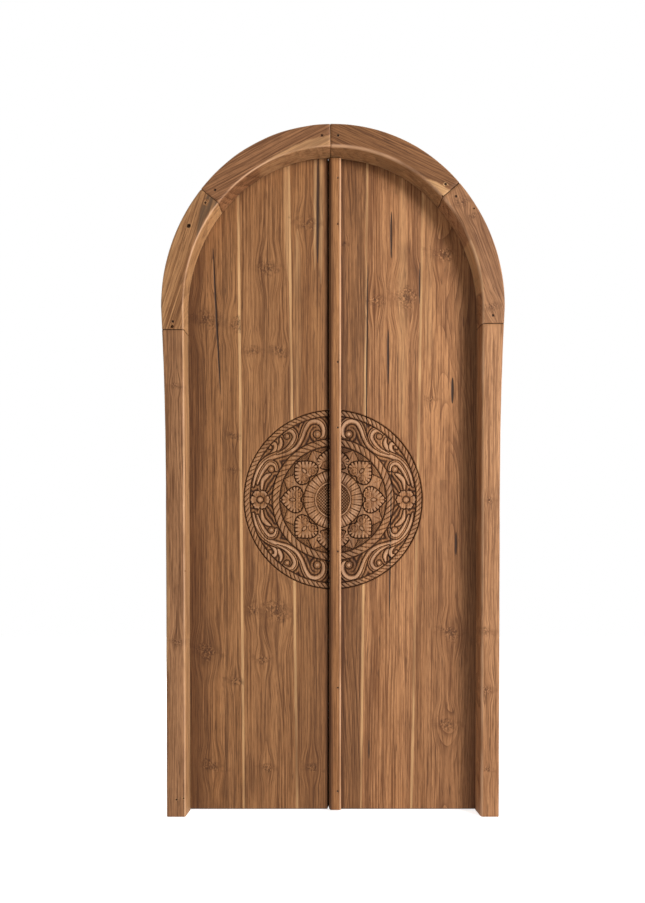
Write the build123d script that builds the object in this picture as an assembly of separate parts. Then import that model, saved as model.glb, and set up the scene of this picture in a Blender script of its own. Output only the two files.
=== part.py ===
from build123d import *
from math import cos, hypot, radians, sin, sqrt
import os

# An arched double-leaf plank door with a carved lotus medallion, hung in its pegged teak frame.
# Millimetres, +Z up, the front faces -Y. The origin is on the floor, amid the width and depth.

# Frame, seen from the front
outer_width = 1206.0              # across the springing, where the arch is widest
overall_height = 2432.0
arch_rise = 635.0                 # springing line to crown
radius_change_angle = 42.0        # degrees above the springing where the flatter haunch arc ends
band_width = 84.0                 # face of the arch ring
foot_width = 69.0                 # face of a jamb at the floor
flare_start = 1150.0              # height where a jamb's outer edge begins to flare
left_leg_drop = 81.0              # how far the lower arch segments reach below the springing
right_leg_drop = 60.0
crown_joint_offset = -10.0        # the two upper segments meet a little left of the middle
left_shoulder_angle = 37.6        # degrees, where upper and lower segments meet
right_shoulder_angle = 40.5
inner_bevel = 8.0                 # easing of the front edge round the opening

# Frame, in depth
frame_depth = 125.0
rebate_lap = 15.0                 # width of the stop that the leaves shut against
leaf_gap = 3.0                    # between a leaf's edge and the rebate
stop_clearance = 1.0              # between a leaf's face and the stop

# Pegged joints of the frame
tenon_length = 120.0
tenon_width = 40.0
tenon_thickness = 16.0
peg_side = 8.0
peg_clearance = 0.1
peg_sink = 4.0                    # the pegs stop short of the front face
peg_tail = 12.0                   # and run on behind the tenon
peg_offset = 28.0                 # from a joint to its peg, along the band

# Leaves
leaf_thickness = 40.0
leaf_floor_gap = 4.0
meeting_offset = 16.0             # the leaves meet this far left of the middle
meeting_gap = 0.5                 # at the back face; the edges open out towards the front
left_meeting_bevel = 3.0
right_meeting_bevel = 2.5

# Seams between planks: distance from the middle at the floor, and at the height of the crown
left_outer_seam_foot = 319.0
left_outer_seam_head = 337.0
left_inner_seam_foot = 134.0
left_inner_seam_head = 165.0
right_inner_seam_foot = 99.0
right_inner_seam_head = 122.0
right_outer_seam_foot = 281.0
right_outer_seam_head = 324.0
tongue_width = 24.0
tongue_thickness = 10.0
tongue_end = 40.0                 # the tongues stop short of the plank ends

# Ledges across the back of each leaf
lower_ledge_height = 300.0
upper_ledge_drop = 160.0          # below the springing; the middle ledge lies halfway
ledge_width = 95.0
ledge_thickness = 24.0
ledge_bevel = 6.0
ledge_hinge_margin = 60.0
ledge_meeting_margin = 34.0

# Cover strip on the right leaf, beside the meeting line
strip_setback = 4.5               # from the meeting line to the strip
strip_width = 41.0
strip_thickness = 20.0
strip_round = 7.0
strip_head_gap = 5.0
brad_shares = [0.03, 0.19, 0.40, 0.59, 0.69, 0.90, 0.97]   # of the strip's length
brad_place_share = 0.7            # of the strip's width, from the meeting side
brad_side = 4.0
brad_sink = 2.0                   # the brads are punched below the strip's face
brad_bite = 20.0                  # and enter the plank by this much

# Lift-off butt hinges; the frame's half carries the pin
lower_hinge_height = 240.0
upper_hinge_drop = 297.0          # below the springing
hinge_height = 100.0
hinge_plate_width = 28.0
hinge_plate_thickness = 2.5
hinge_plate_gap = 0.4             # between the two plates of a shut hinge
knuckle_radius = 6.5
knuckle_clearance = 1.0           # behind the frame's back face
knuckle_gap = 0.3
hinge_pin_radius = 3.0
hinge_pin_fit = 0.05
hinge_pin_reach = 36.0            # length of pin inside the upper knuckle
hinge_pin_end_gap = 4.0

# Carved medallion
medallion_radius = 324.0
medallion_height = 1127.0         # of its centre, above the floor
carving_depth = 9.0
leaf_relief_depth = 4.5           # of the leaves that lie behind the hearts
dome_height = 8.0

# Medallion radii, as shares of its own radius
rope_outer_shares = (0.933, 0.99)
rope_inner_shares = (0.600, 0.676)
heart_shares = (0.335, 0.592)
heart_half_width_share = 0.132
back_leaf_shares = (0.36, 0.594)
back_leaf_half_width_share = 0.085
back_leaf_outline_shares = [(0, 0), (0.5, -1.0), (0.8, -0.6), (1.0, 0), (0.8, 0.6), (0.5, 1.0)]
petal_shares = (0.223, 0.327)
petal_gap_share = 0.012
dome_share = 0.209
rosette_place_share = 0.815
rosette_eye_share = 0.026
rosette_petal_shares = [(0.034, 0), (0.070, 0.030), (0.096, 0.018), (0.096, -0.018), (0.070, -0.030)]
heart_count = 8
petal_count = 16
rosette_petal_count = 6

# One half of a heart, from the notch at its base to its tip: shares of its length and half width
heart_outline_shares = [(0.10, 0), (0, 0.45), (0.16, 0.95), (0.42, 0.98), (0.74, 0.52), (1.0, 0)]

# Stems and fronds of one quarter of the foliage: place across, place up and half width at each point,
# and the round eye that a scroll curls into, all as shares of the medallion's radius
stem_shares = [
    (0.160, 0.690, 0.020), (0.109, 0.704, 0.026), (0.093, 0.771, 0.028), (0.121, 0.845, 0.029),
    (0.188, 0.884, 0.030), (0.266, 0.866, 0.028), (0.316, 0.793, 0.025), (0.355, 0.687, 0.022),
    (0.417, 0.587, 0.023), (0.512, 0.531, 0.026), (0.635, 0.497, 0.026), (0.741, 0.447, 0.025),
    (0.819, 0.369, 0.022), (0.869, 0.268, 0.020), (0.893, 0.156, 0.011),
]
tall_frond_shares = [
    (0.623, 0.508, 0.008), (0.528, 0.553, 0.016), (0.456, 0.620, 0.022), (0.420, 0.698, 0.024),
    (0.447, 0.762, 0.024), (0.506, 0.779, 0.022), (0.545, 0.743, 0.018),
]
middle_frond_shares = [
    (0.588, 0.680, 0.010), (0.580, 0.628, 0.017), (0.610, 0.570, 0.018), (0.674, 0.516, 0.008),
]
short_frond_shares = [
    (0.758, 0.469, 0.008), (0.685, 0.514, 0.013), (0.642, 0.572, 0.016), (0.652, 0.622, 0.016),
    (0.696, 0.618, 0.014),
]
flower_scroll_shares = [
    (0.847, 0.179, 0.010), (0.813, 0.274, 0.017), (0.763, 0.360, 0.021), (0.712, 0.409, 0.023),
    (0.655, 0.397, 0.021), (0.633, 0.341, 0.018),
]
flower_leaf_shares = [
    (0.797, 0.118, 0.008), (0.785, 0.207, 0.018), (0.741, 0.263, 0.018), (0.702, 0.285, 0.008),
]
stroke_shares = [
    stem_shares, tall_frond_shares, middle_frond_shares, short_frond_shares,
    flower_scroll_shares, flower_leaf_shares,
]
eye_shares = [(0.176, 0.729, 0.040), (0.516, 0.706, 0.029), (0.702, 0.585, 0.023), (0.689, 0.340, 0.034)]

eye_sides = 6
overrun = 10.0                    # cutters run past what they cut

# Worked out from the sizes above
half_width = outer_width / 2
opening_half = half_width - band_width
foot_half = opening_half + foot_width
springing = overall_height - arch_rise
change_angle = radians(radius_change_angle)
radius_step = (arch_rise - half_width) / (sin(change_angle) + cos(change_angle) - 1)
crown_radius = arch_rise - radius_step * sin(change_angle)
haunch_radius = crown_radius + radius_step
crown_centre = overall_height - crown_radius
haunch_shift = radius_step * cos(change_angle)

frame_front = -(frame_depth + ledge_thickness) / 2
frame_back = frame_front + frame_depth
leaf_front = frame_back - leaf_thickness
stop_back = leaf_front - stop_clearance
tenon_middle = (frame_front + stop_back) / 2
leaf_half = opening_half + rebate_lap - leaf_gap
hinge_x = leaf_half + leaf_gap / 2
hinge_y = frame_back + knuckle_clearance + knuckle_radius
strip_left = strip_setback - meeting_offset
strip_head = overall_height - band_width - strip_head_gap
strip_front = leaf_front - strip_thickness
upper_ledge_height = springing - upper_ledge_drop
middle_ledge_height = (lower_ledge_height + upper_ledge_height) / 2
ledge_heights = {"lower": lower_ledge_height, "middle": middle_ledge_height, "upper": upper_ledge_height}
hinge_heights = [lower_hinge_height, springing - upper_hinge_drop]


def outline(points):
    """A face with straight sides."""
    return make_face(Polyline(*points, close=True))


def slab(face, near, far):
    """Stand a face drawn in X and Z upright, and give it depth from near to far."""
    upright = Plane(origin=(0, near, 0), x_dir=(1, 0, 0), z_dir=(0, -1, 0))
    return extrude(upright * face, amount=near - far)


def block(x_span, y_span, z_span):
    """A box from its three pairs of limits."""
    spans = [sorted(span) for span in (x_span, y_span, z_span)]
    size = [high - low for low, high in spans]
    middle = [(high + low) / 2 for low, high in spans]
    return Pos(*middle) * Box(*size)


def arch_curves(inset):
    """The arch line, from right springing to left, drawn inside the frame's outer edge by inset."""
    crown = crown_radius - inset
    haunch = haunch_radius - inset
    half = half_width - inset
    change = (crown * cos(change_angle), crown_centre + crown * sin(change_angle))
    knee = (haunch * cos(change_angle / 2) - haunch_shift, springing + haunch * sin(change_angle / 2))
    right = ThreePointArc((half, springing), knee, change)
    top = ThreePointArc(change, (0, crown_centre + crown), (-change[0], change[1]))
    left = ThreePointArc((-change[0], change[1]), (-knee[0], knee[1]), (-half, springing))
    return [right, top, left]


def arch_face(inset, foot):
    """All that lies inside the arch line and between straight legs, down to foot."""
    half = half_width - inset
    legs = Polyline((-half, springing), (-half, foot), (half, foot), (half, springing))
    return make_face([*arch_curves(inset), legs])


def frame_face():
    """The frame's outer outline, with the jambs flaring towards the arch."""
    flares = [
        TangentArc((side * foot_half, flare_start), (side * half_width, springing), tangent=(0, 1))
        for side in (-1, 1)
    ]
    legs = Polyline((-foot_half, flare_start), (-foot_half, 0), (foot_half, 0), (foot_half, flare_start))
    return make_face([*arch_curves(0), *flares, legs])


def past_opening(point):
    """How far a point of the frame lies from the opening's edge."""
    if point.Z < springing:
        return abs(point.X) - opening_half
    rise = point.Z - crown_centre
    from_crown = hypot(point.X, rise)
    if rise > from_crown * sin(change_angle):
        return from_crown - (crown_radius - band_width)
    return hypot(abs(point.X) + haunch_shift, point.Z - springing) - (haunch_radius - band_width)


def ray(angle):
    """A point far out from the crown's centre, at an angle from +X."""
    return (overall_height * cos(radians(angle)), crown_centre + overall_height * sin(radians(angle)))


def frame_regions():
    """The share of the frame's face that each of its six timbers takes."""
    left_leg = springing - left_leg_drop
    right_leg = springing - right_leg_drop
    left_shoulder = ray(180 - left_shoulder_angle)
    right_shoulder = ray(right_shoulder_angle)
    centre = (0, crown_centre)
    crown_low = (crown_joint_offset, crown_centre)
    crown_high = (crown_joint_offset, crown_centre + overall_height)
    far = outer_width
    return {
        "left_jamb": [(0, 0), (0, left_leg), (-far, left_leg), (-far, 0)],
        "right_jamb": [(0, 0), (far, 0), (far, right_leg), (0, right_leg)],
        "left_lower_arch_segment": [
            (0, left_leg), centre, left_shoulder, (-far, crown_centre), (-far, left_leg),
        ],
        "right_lower_arch_segment": [
            (0, right_leg), (far, right_leg), (far, crown_centre), right_shoulder, centre,
        ],
        "left_upper_arch_segment": [crown_low, crown_high, left_shoulder, centre],
        "right_upper_arch_segment": [crown_low, centre, right_shoulder, crown_high],
    }


def joint_places():
    """Each pegged joint: its middle in X and Z, its tenon's way in degrees, and its pegs' sides."""
    middle = Vector(crown_radius - band_width / 2, 0)
    leg = half_width - band_width / 2
    left = middle.rotate(Axis.Z, 180 - left_shoulder_angle)
    right = middle.rotate(Axis.Z, right_shoulder_angle)
    return {
        "crown": (crown_joint_offset, crown_centre + middle.X, 0, (-1, 1)),
        "left_shoulder": (left.X, crown_centre + left.Y, 90 - left_shoulder_angle, (-1, 1)),
        "right_shoulder": (right.X, crown_centre + right.Y, 90 + right_shoulder_angle, (-1, 1)),
        "left_springing": (-leg, springing - left_leg_drop, 90, (1,)),
        "right_springing": (leg, springing - right_leg_drop, 90, (1,)),
    }


def joint_tenon(place):
    x, z, angle, _ = place
    return Pos(x, tenon_middle, z) * Rot(0, -angle, 0) * Box(tenon_length, tenon_thickness, tenon_width)


def joint_pegs(place, side, near):
    """The pegs of one joint as square bars of the given side, from near to behind the tenon."""
    x, z, angle, ways = place
    far = tenon_middle + tenon_thickness / 2 + peg_tail
    bar = Pos(0, (near + far) / 2, 0) * Box(side, far - near, side)
    along, up = peg_offset * cos(radians(angle)), peg_offset * sin(radians(angle))
    return [Pos(x + way * along, 0, z + way * up) * Rot(0, -angle, 0) * bar for way in ways]


def frame_timbers(hinge_plates):
    """Jambs and arch segments: rebated, eased in front, mortised, pegged, let in for the hinges."""
    whole = frame_face()
    stop = whole - arch_face(band_width, -overrun)
    rebated = whole - arch_face(band_width - rebate_lap, -overrun)
    places = joint_places().values()
    mortises = [joint_tenon(place) for place in places]
    hole_side = peg_side + 2 * peg_clearance
    hole_start = frame_front - overrun
    holes = [hole for place in places for hole in joint_pegs(place, hole_side, hole_start)]
    timbers = {}
    for name, points in frame_regions().items():
        region = outline(points)
        timber = slab(stop & region, frame_front, stop_back)
        timber += slab(rebated & region, stop_back, frame_back)
        front_edges = timber.edges().filter_by_position(Axis.Y, frame_front, frame_front)
        inner = [edge for edge in front_edges if past_opening(edge @ 0.5) < band_width / 4]
        timber = chamfer(inner, inner_bevel)
        timbers[name] = timber - mortises - holes - hinge_plates
    return timbers


def seam_lines():
    """X at the floor and at the crown's height of the lines that bound the planks, by leaf."""
    left_hinge_side = (-outer_width, -outer_width)
    left_outer = (-left_outer_seam_foot, -left_outer_seam_head)
    left_inner = (-left_inner_seam_foot, -left_inner_seam_head)
    left_meeting = (-meeting_offset - meeting_gap / 2, -meeting_offset - meeting_gap / 2)
    right_meeting = (meeting_gap / 2 - meeting_offset, meeting_gap / 2 - meeting_offset)
    right_inner = (right_inner_seam_foot, right_inner_seam_head)
    right_outer = (right_outer_seam_foot, right_outer_seam_head)
    right_hinge_side = (outer_width, outer_width)
    return {
        "left": [
            ("outer", left_hinge_side, left_outer),
            ("middle", left_outer, left_inner),
            ("inner", left_inner, left_meeting),
        ],
        "right": [
            ("inner", right_meeting, right_inner),
            ("middle", right_inner, right_outer),
            ("outer", right_outer, right_hinge_side),
        ],
    }


def line_x(line, height):
    """Where a seam lies at a height."""
    foot, head = line
    return foot + (head - foot) * height / overall_height


def leaf_top(x):
    """Height of a leaf's arched top at x, under the crown arc."""
    return crown_centre + sqrt((crown_radius - band_width + rebate_lap - leaf_gap) ** 2 - x**2)


def meeting_wedge(side):
    """What the bevel takes off a leaf's meeting edge: side is -1 for the left leaf, 1 for the right."""
    edge = side * meeting_gap / 2 - meeting_offset
    bevel = {-1: left_meeting_bevel, 1: right_meeting_bevel}[side]
    spare = -side * overrun
    front = [(edge + side * bevel, leaf_front), (edge + spare, leaf_front)]
    plan = outline([*front, (edge + spare, frame_back), (edge, frame_back)])
    return extrude(plan, amount=overall_height)


def seam_tongue(line):
    """The loose tongue in a seam, half in each plank."""
    low = leaf_floor_gap + tongue_end
    high = leaf_top(line_x(line, overall_height)) - tongue_end
    half = tongue_width / 2
    foot, head = line_x(line, low), line_x(line, high)
    face = outline([(foot - half, low), (foot + half, low), (head + half, high), (head - half, high)])
    middle = (leaf_front + frame_back) / 2
    return slab(face, middle - tongue_thickness / 2, middle + tongue_thickness / 2)


def stroke(shares):
    """A chip-carved stem: facets either side of its line, wide or narrow from point to point."""
    points = [Vector(across, up) * medallion_radius for across, up, _ in shares]
    left, right = [], []
    for index, (_, _, half_share) in enumerate(shares):
        before = points[max(index - 1, 0)]
        after = points[min(index + 1, len(points) - 1)]
        along = (after - before).normalized()
        out = Vector(-along.Y, along.X) * half_share * medallion_radius
        left.append(points[index] + out)
        right.append(points[index] - out)
    return outline([*left, *reversed(right)])


def foliage():
    """Scrolls and fronds of one quarter, mirrored into the other three."""
    quarter = [stroke(shares) for shares in stroke_shares]
    for across, up, size in eye_shares:
        eye = RegularPolygon(size * medallion_radius, eye_sides)
        quarter.append(Pos(across * medallion_radius, up * medallion_radius) * eye)
    half = quarter + [mirror(piece, about=Plane.YZ) for piece in quarter]
    return half + [mirror(piece, about=Plane.XZ) for piece in half]


def ring(shares):
    inner, outer = [share * medallion_radius for share in shares]
    return Circle(outer) - Circle(inner)


def heart():
    """One heart-shaped leaf on the +X side, its tip outwards."""
    base, tip = [share * medallion_radius for share in heart_shares]
    half = heart_half_width_share * medallion_radius
    upper = [(base + (tip - base) * along, half * out) for along, out in heart_outline_shares]
    lower = [(x, -y) for x, y in upper[1:-1]]
    return outline([*upper, *reversed(lower)])


def back_leaf():
    """One pointed leaf on the +X side."""
    base, tip = [share * medallion_radius for share in back_leaf_shares]
    half = back_leaf_half_width_share * medallion_radius
    return outline([(base + (tip - base) * along, half * out) for along, out in back_leaf_outline_shares])


def turned(piece, count, start=0):
    """Copies of a piece spread evenly round the centre."""
    return [Rot(0, 0, start + 360 * index / count) * piece for index in range(count)]


def petals():
    """The ring of petals round the dome, parted by slits."""
    inner, outer = [share * medallion_radius for share in petal_shares]
    slit = Rectangle(outer - inner + overrun, petal_gap_share * medallion_radius)
    slit = Pos((inner + outer) / 2, 0) * slit
    return ring(petal_shares) - turned(slit, petal_count)


def rosettes():
    """The small flowers at the left and right of the foliage."""
    points = [(along * medallion_radius, out * medallion_radius) for along, out in rosette_petal_shares]
    petal = outline(points)
    eye = RegularPolygon(rosette_eye_share * medallion_radius, eye_sides)
    flower = [eye, *turned(petal, rosette_petal_count)]
    place = rosette_place_share * medallion_radius
    return [Pos(way * place, 0) * piece for way in (-1, 1) for piece in flower]


def medallion_cut():
    """What the carver takes out: the ground, the sunk leaves, and the hollow round the dome."""
    middle = Pos(0, medallion_height)
    hearts = turned(heart(), heart_count)
    ropes = [ring(rope_outer_shares), ring(rope_inner_shares)]
    raised = Sketch() + [*ropes, petals(), *foliage(), *rosettes(), *hearts]
    leaves = Sketch() + turned(back_leaf(), heart_count, 180 / heart_count) - raised
    dome_radius = dome_share * medallion_radius
    ground = Circle(medallion_radius) - raised - leaves - Circle(dome_radius)
    deep = slab(middle * ground, leaf_front, leaf_front + carving_depth)
    shallow = slab(middle * leaves, leaf_front, leaf_front + leaf_relief_depth)
    ball = (dome_radius**2 + dome_height**2) / (2 * dome_height)
    peak = leaf_front + carving_depth - dome_height
    well = slab(middle * Circle(dome_radius), leaf_front, leaf_front + carving_depth)
    hollow = well - Pos(0, peak + ball, medallion_height) * Sphere(ball)
    return [*deep.solids(), *shallow.solids(), *hollow.solids()]


def ledge(side, height):
    """A batten across a leaf's back, its long edges bevelled."""
    hinge_end = side * (leaf_half - ledge_hinge_margin)
    meeting_end = side * ledge_meeting_margin - meeting_offset
    half = ledge_width / 2
    depth = (frame_back, frame_back + ledge_thickness)
    batten = block((hinge_end, meeting_end), depth, (height - half, height + half))
    return chamfer(batten.faces().sort_by(Axis.Y)[-1].edges(), ledge_bevel)


def cover_strip():
    """The strip beside the meeting line: front edges and foot rounded."""
    bar = block(
        (strip_left, strip_left + strip_width), (strip_front, leaf_front), (leaf_floor_gap, strip_head)
    )
    front = bar.faces().sort_by(Axis.Y)[0]
    rounded = front.edges().sort_by(Axis.Z)[:-1]
    return fillet(rounded, strip_round)


def brads(top):
    """The square headless nails of the cover strip, from top into the plank."""
    half = brad_side / 2
    x = strip_left + strip_width * brad_place_share
    length = strip_head - leaf_floor_gap
    bar = block((x - half, x + half), (top, leaf_front + brad_bite), (-half, half))
    return [Pos(0, 0, leaf_floor_gap + length * share) * bar for share in brad_shares]


def hinge(side, height):
    """One lift-off hinge: the frame's plate with knuckle and pin, and the leaf's with the socket."""
    half = hinge_height / 2
    low, high = height - half, height + half
    axis_x = side * hinge_x
    inner = hinge_plate_gap / 2
    outer = inner + hinge_plate_thickness
    plate_y = (frame_back - hinge_plate_width, frame_back)
    knuckle_height = half - knuckle_gap / 2
    rising = (Align.CENTER, Align.CENTER, Align.MIN)
    knuckle = Cylinder(knuckle_radius, knuckle_height, align=rising)

    frame_x = (axis_x + side * inner, axis_x + side * outer)
    pin = Cylinder(hinge_pin_radius, knuckle_height + hinge_pin_reach, align=rising)
    frame_plate = block(frame_x, plate_y, (low, high))
    frame_plate += block(frame_x, (frame_back, hinge_y), (low, low + knuckle_height))
    frame_plate += Pos(axis_x, hinge_y, low) * (knuckle + pin)

    leaf_x = (axis_x - side * inner, axis_x - side * outer)
    socket = Cylinder(hinge_pin_radius + hinge_pin_fit, hinge_pin_reach + hinge_pin_end_gap, align=rising)
    leaf_plate = block(leaf_x, plate_y, (low, high))
    leaf_plate += block(leaf_x, (frame_back, hinge_y), (high - knuckle_height, high))
    leaf_plate += Pos(axis_x, hinge_y, high - knuckle_height) * knuckle
    leaf_plate -= Pos(axis_x, hinge_y, high - knuckle_height) * socket
    return frame_plate, leaf_plate


def leaf_pieces(side, name, hinge_plates, carving):
    """Planks, tongues and ledges of one leaf; the planks are let in for whatever sits in them."""
    lines = seam_lines()[name]
    shape = arch_face(band_width - rebate_lap + leaf_gap, leaf_floor_gap)
    tongues = {
        f"{name}_{plank}_tongue": seam_tongue(line)
        for plank, line in zip(("outer", "inner"), seams_inside(lines, side))
    }
    nails = brads(leaf_front) if side > 0 else []
    pieces = {}
    for plank, left, right in lines:
        corners = [(left[0], 0), (right[0], 0), (right[1], overall_height), (left[1], overall_height)]
        board = slab(shape & outline(corners), leaf_front, frame_back)
        if plank == "inner":
            board -= meeting_wedge(side)
        pieces[f"{name}_{plank}_plank"] = board - [*tongues.values(), *nails, *hinge_plates, *carving]
    for place, height in ledge_heights.items():
        pieces[f"{name}_{place}_ledge"] = ledge(side, height)
    pieces.update(tongues)
    return pieces


def seams_inside(lines, side):
    """A leaf's two seams, the one nearer the hinges first."""
    first, second = lines[0][2], lines[1][2]
    return (first, second) if side < 0 else (second, first)


def door():
    nodes = {}
    plates = {}
    for side, name in ((-1, "left"), (1, "right")):
        hinges = [hinge(side, height) for height in hinge_heights]
        plates[f"{name}_hinge_frame_plates"] = [pin_half for pin_half, _ in hinges]
        plates[f"{name}_hinge_leaf_plates"] = [socket_half for _, socket_half in hinges]
    nodes.update(frame_timbers([*plates["left_hinge_frame_plates"], *plates["right_hinge_frame_plates"]]))
    pegs = []
    for name, place in joint_places().items():
        holes = joint_pegs(place, peg_side + 2 * peg_clearance, frame_front)
        nodes[f"{name}_tenon"] = joint_tenon(place) - holes
        pegs += joint_pegs(place, peg_side, frame_front + peg_sink)
    nodes["frame_pegs"] = Compound(children=pegs)
    carving = medallion_cut()
    for side, name in ((-1, "left"), (1, "right")):
        nodes.update(leaf_pieces(side, name, plates[f"{name}_hinge_leaf_plates"], carving))
    nodes["cover_strip"] = cover_strip() - brads(strip_front - overrun)
    nodes["cover_strip_brads"] = Compound(children=brads(strip_front + brad_sink))
    nodes.update({node: Compound(children=halves) for node, halves in plates.items()})
    return nodes


os.makedirs("parts", exist_ok=True)
for node, shape in door().items():
    export_step(shape, f"parts/{node}.step")
    print(node, len(shape.solids()), round(shape.volume))
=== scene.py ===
# %% [markdown]
# # An arched temple door in teak
# A pair of plank leaves hangs in a pegged, arched frame, and a lotus medallion is carved across both
# leaves. The construction model already fixes every size, joint and hinge. This lesson dresses it: it
# rebuilds the timbers as meshes with worn edges, carves the medallion as real relief, and finishes
# everything as old teak.

# %% Load the construction model
from math import atan2, cos, pi, radians, sin, sqrt

import bmesh
import bpy
import numpy as np
from mathutils import Matrix, Vector, noise


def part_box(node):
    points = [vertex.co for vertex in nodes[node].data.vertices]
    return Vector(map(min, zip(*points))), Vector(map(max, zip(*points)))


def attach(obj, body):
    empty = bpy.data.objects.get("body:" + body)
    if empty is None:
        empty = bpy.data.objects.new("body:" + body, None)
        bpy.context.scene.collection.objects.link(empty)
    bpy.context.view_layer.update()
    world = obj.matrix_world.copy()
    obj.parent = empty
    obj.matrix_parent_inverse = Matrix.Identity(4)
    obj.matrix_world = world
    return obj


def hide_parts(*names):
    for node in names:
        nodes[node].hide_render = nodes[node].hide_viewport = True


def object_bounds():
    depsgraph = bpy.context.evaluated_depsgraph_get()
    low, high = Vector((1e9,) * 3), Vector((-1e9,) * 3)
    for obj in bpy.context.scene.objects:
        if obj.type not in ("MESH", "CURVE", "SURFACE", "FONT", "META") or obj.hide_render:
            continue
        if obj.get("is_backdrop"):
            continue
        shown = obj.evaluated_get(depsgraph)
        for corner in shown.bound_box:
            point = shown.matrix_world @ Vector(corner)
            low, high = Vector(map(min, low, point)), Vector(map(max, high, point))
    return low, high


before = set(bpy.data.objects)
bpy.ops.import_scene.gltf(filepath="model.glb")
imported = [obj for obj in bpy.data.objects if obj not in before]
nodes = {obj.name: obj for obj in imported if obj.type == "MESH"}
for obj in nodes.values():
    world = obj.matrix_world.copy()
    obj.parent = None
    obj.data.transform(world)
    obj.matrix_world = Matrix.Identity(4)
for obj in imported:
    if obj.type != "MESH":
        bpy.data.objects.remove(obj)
cad_low, cad_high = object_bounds()
print("construction model:", len(nodes), "nodes,", [round(size, 3) for size in cad_high - cad_low], "m")

# %% [markdown]
# ## Measures
# Anything that the loaded model can tell is read from its boxes, so the dressing follows the construction.
# Only the curve of the arch, the plank seams and the carving are restated here, in the same sizes.

# %% Read the door's measures from its nodes
mm = 0.001
half_width = cad_high.x
door_height = cad_high.z
frame_front, frame_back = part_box("left_jamb")[0].y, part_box("left_jamb")[1].y
opening_half = -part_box("left_jamb")[1].x
band = half_width - opening_half
leaf_front, leaf_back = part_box("left_outer_plank")[0].y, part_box("left_outer_plank")[1].y
leaf_half = -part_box("left_outer_plank")[0].x
leaf_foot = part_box("left_outer_plank")[0].z
stop_back = leaf_front - 1 * mm
rebate_lap = 15 * mm
leaf_inset = half_width - leaf_half
print("opening", round(2 * opening_half, 3), "m wide, band", round(band / mm), "mm")

# %% [markdown]
# The arch is no half circle: its haunches are a little flatter than its crown. The curve could be drawn
# point by point, but two radii that meet smoothly at one angle, as a carpenter strikes them, give the same
# line with three numbers.

# %% Draw the arch from two radii
arch_rise = 635 * mm
change_angle = radians(42)
springing = door_height - arch_rise
radius_step = (arch_rise - half_width) / (sin(change_angle) + cos(change_angle) - 1)
crown_radius = arch_rise - radius_step * sin(change_angle)
haunch_radius = crown_radius + radius_step
crown_centre = door_height - crown_radius
haunch_shift = radius_step * cos(change_angle)


def arch_station(angle):
    """A point on the edge of the arched opening and the way out across the band there."""
    out = Vector((cos(angle), 0, sin(angle)))
    if angle < change_angle:
        return Vector((-haunch_shift, 0, springing)) + out * (haunch_radius - band), out
    if angle > pi - change_angle:
        return Vector((haunch_shift, 0, springing)) + out * (haunch_radius - band), out
    return Vector((0, 0, crown_centre)) + out * (crown_radius - band), out


def leaf_top(x):
    """Height of the leaves' arched top at x."""
    crown = crown_radius - leaf_inset
    haunch = haunch_radius - leaf_inset
    x = np.abs(x)
    low = springing + np.sqrt(np.maximum(haunch**2 - (x + haunch_shift) ** 2, 0))
    high = crown_centre + np.sqrt(np.maximum(crown**2 - x**2, 0))
    return np.where(x > crown * cos(change_angle), low, high)


print("arch radii:", round(crown_radius, 3), "m at the crown,", round(haunch_radius, 3), "m at the haunches")

# %% [markdown]
# ## Helpers for meshes
# Every timber here is a long closed skin: a loop of points repeated along a path. One helper turns a grid of
# points into faces, and another makes the object, hangs it on the body it rides on and hides the solid it
# stands for.

# %% Helpers for meshes
def grid_faces(rows, columns, start=0, closed=False):
    """Quads over a grid of points numbered row by row; closed also joins the last column to the first."""
    index = start + np.arange(rows * columns).reshape(rows, columns)
    if closed:
        index = np.concatenate([index, index[:, :1]], axis=1)
    corners = (index[:-1, :-1], index[:-1, 1:], index[1:, 1:], index[1:, :-1])
    return np.stack([corner.ravel() for corner in corners], axis=1).tolist()


def skin(rings):
    """Points and faces of a closed skin over rings of points, with a cap on both ends."""
    count = len(rings[0])
    faces = grid_faces(len(rings), count, closed=True)
    faces.append(list(range(count))[::-1])
    faces.append(list(range((len(rings) - 1) * count, len(rings) * count)))
    return np.concatenate(rings), faces


def face_outwards(mesh):
    """Turn every face of a closed skin the same way round, outwards."""
    editable = bmesh.new()
    editable.from_mesh(mesh)
    bmesh.ops.recalc_face_normals(editable, faces=editable.faces)
    editable.to_mesh(mesh)
    editable.free()


def add_piece(name, points, faces, body, stands_for=(), marks=None, sharp=50):
    """A mesh object that rides on a body; marks are values kept on its points for the materials."""
    mesh = bpy.data.meshes.new(name)
    mesh.from_pydata(np.asarray(points, float).tolist(), [], faces)
    for mark, values in (marks or {}).items():
        layer = mesh.attributes.new(mark, "FLOAT", "POINT")
        layer.data.foreach_set("value", np.asarray(values, np.float32).ravel())
    face_outwards(mesh)
    mesh.shade_smooth()
    mesh.set_sharp_from_angle(angle=radians(sharp))
    piece = bpy.data.objects.new(name, mesh)
    bpy.context.scene.collection.objects.link(piece)
    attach(piece, body)
    if stands_for:
        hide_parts(*stands_for)
    return piece


def ripple(points, scale, seed):
    """Smooth noise from 0 to 1 at each point."""
    shift = Vector((seed * 3.1, seed * 1.7, seed * 2.3))
    return np.array([0.5 + 0.5 * noise.noise(Vector(point) * scale + shift) for point in points])


# %% [markdown]
# ## The frame's timbers
# The frame is sawn from six pieces of teak: two jambs and four curved arch segments, pegged end to end.
# Boxes with a bevel modifier would look machined, so each timber is one section, with softly rounded
# corners and a rebate for the leaves behind, swept along its path. Noise then wears the corners and dips
# the faces a little.

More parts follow.
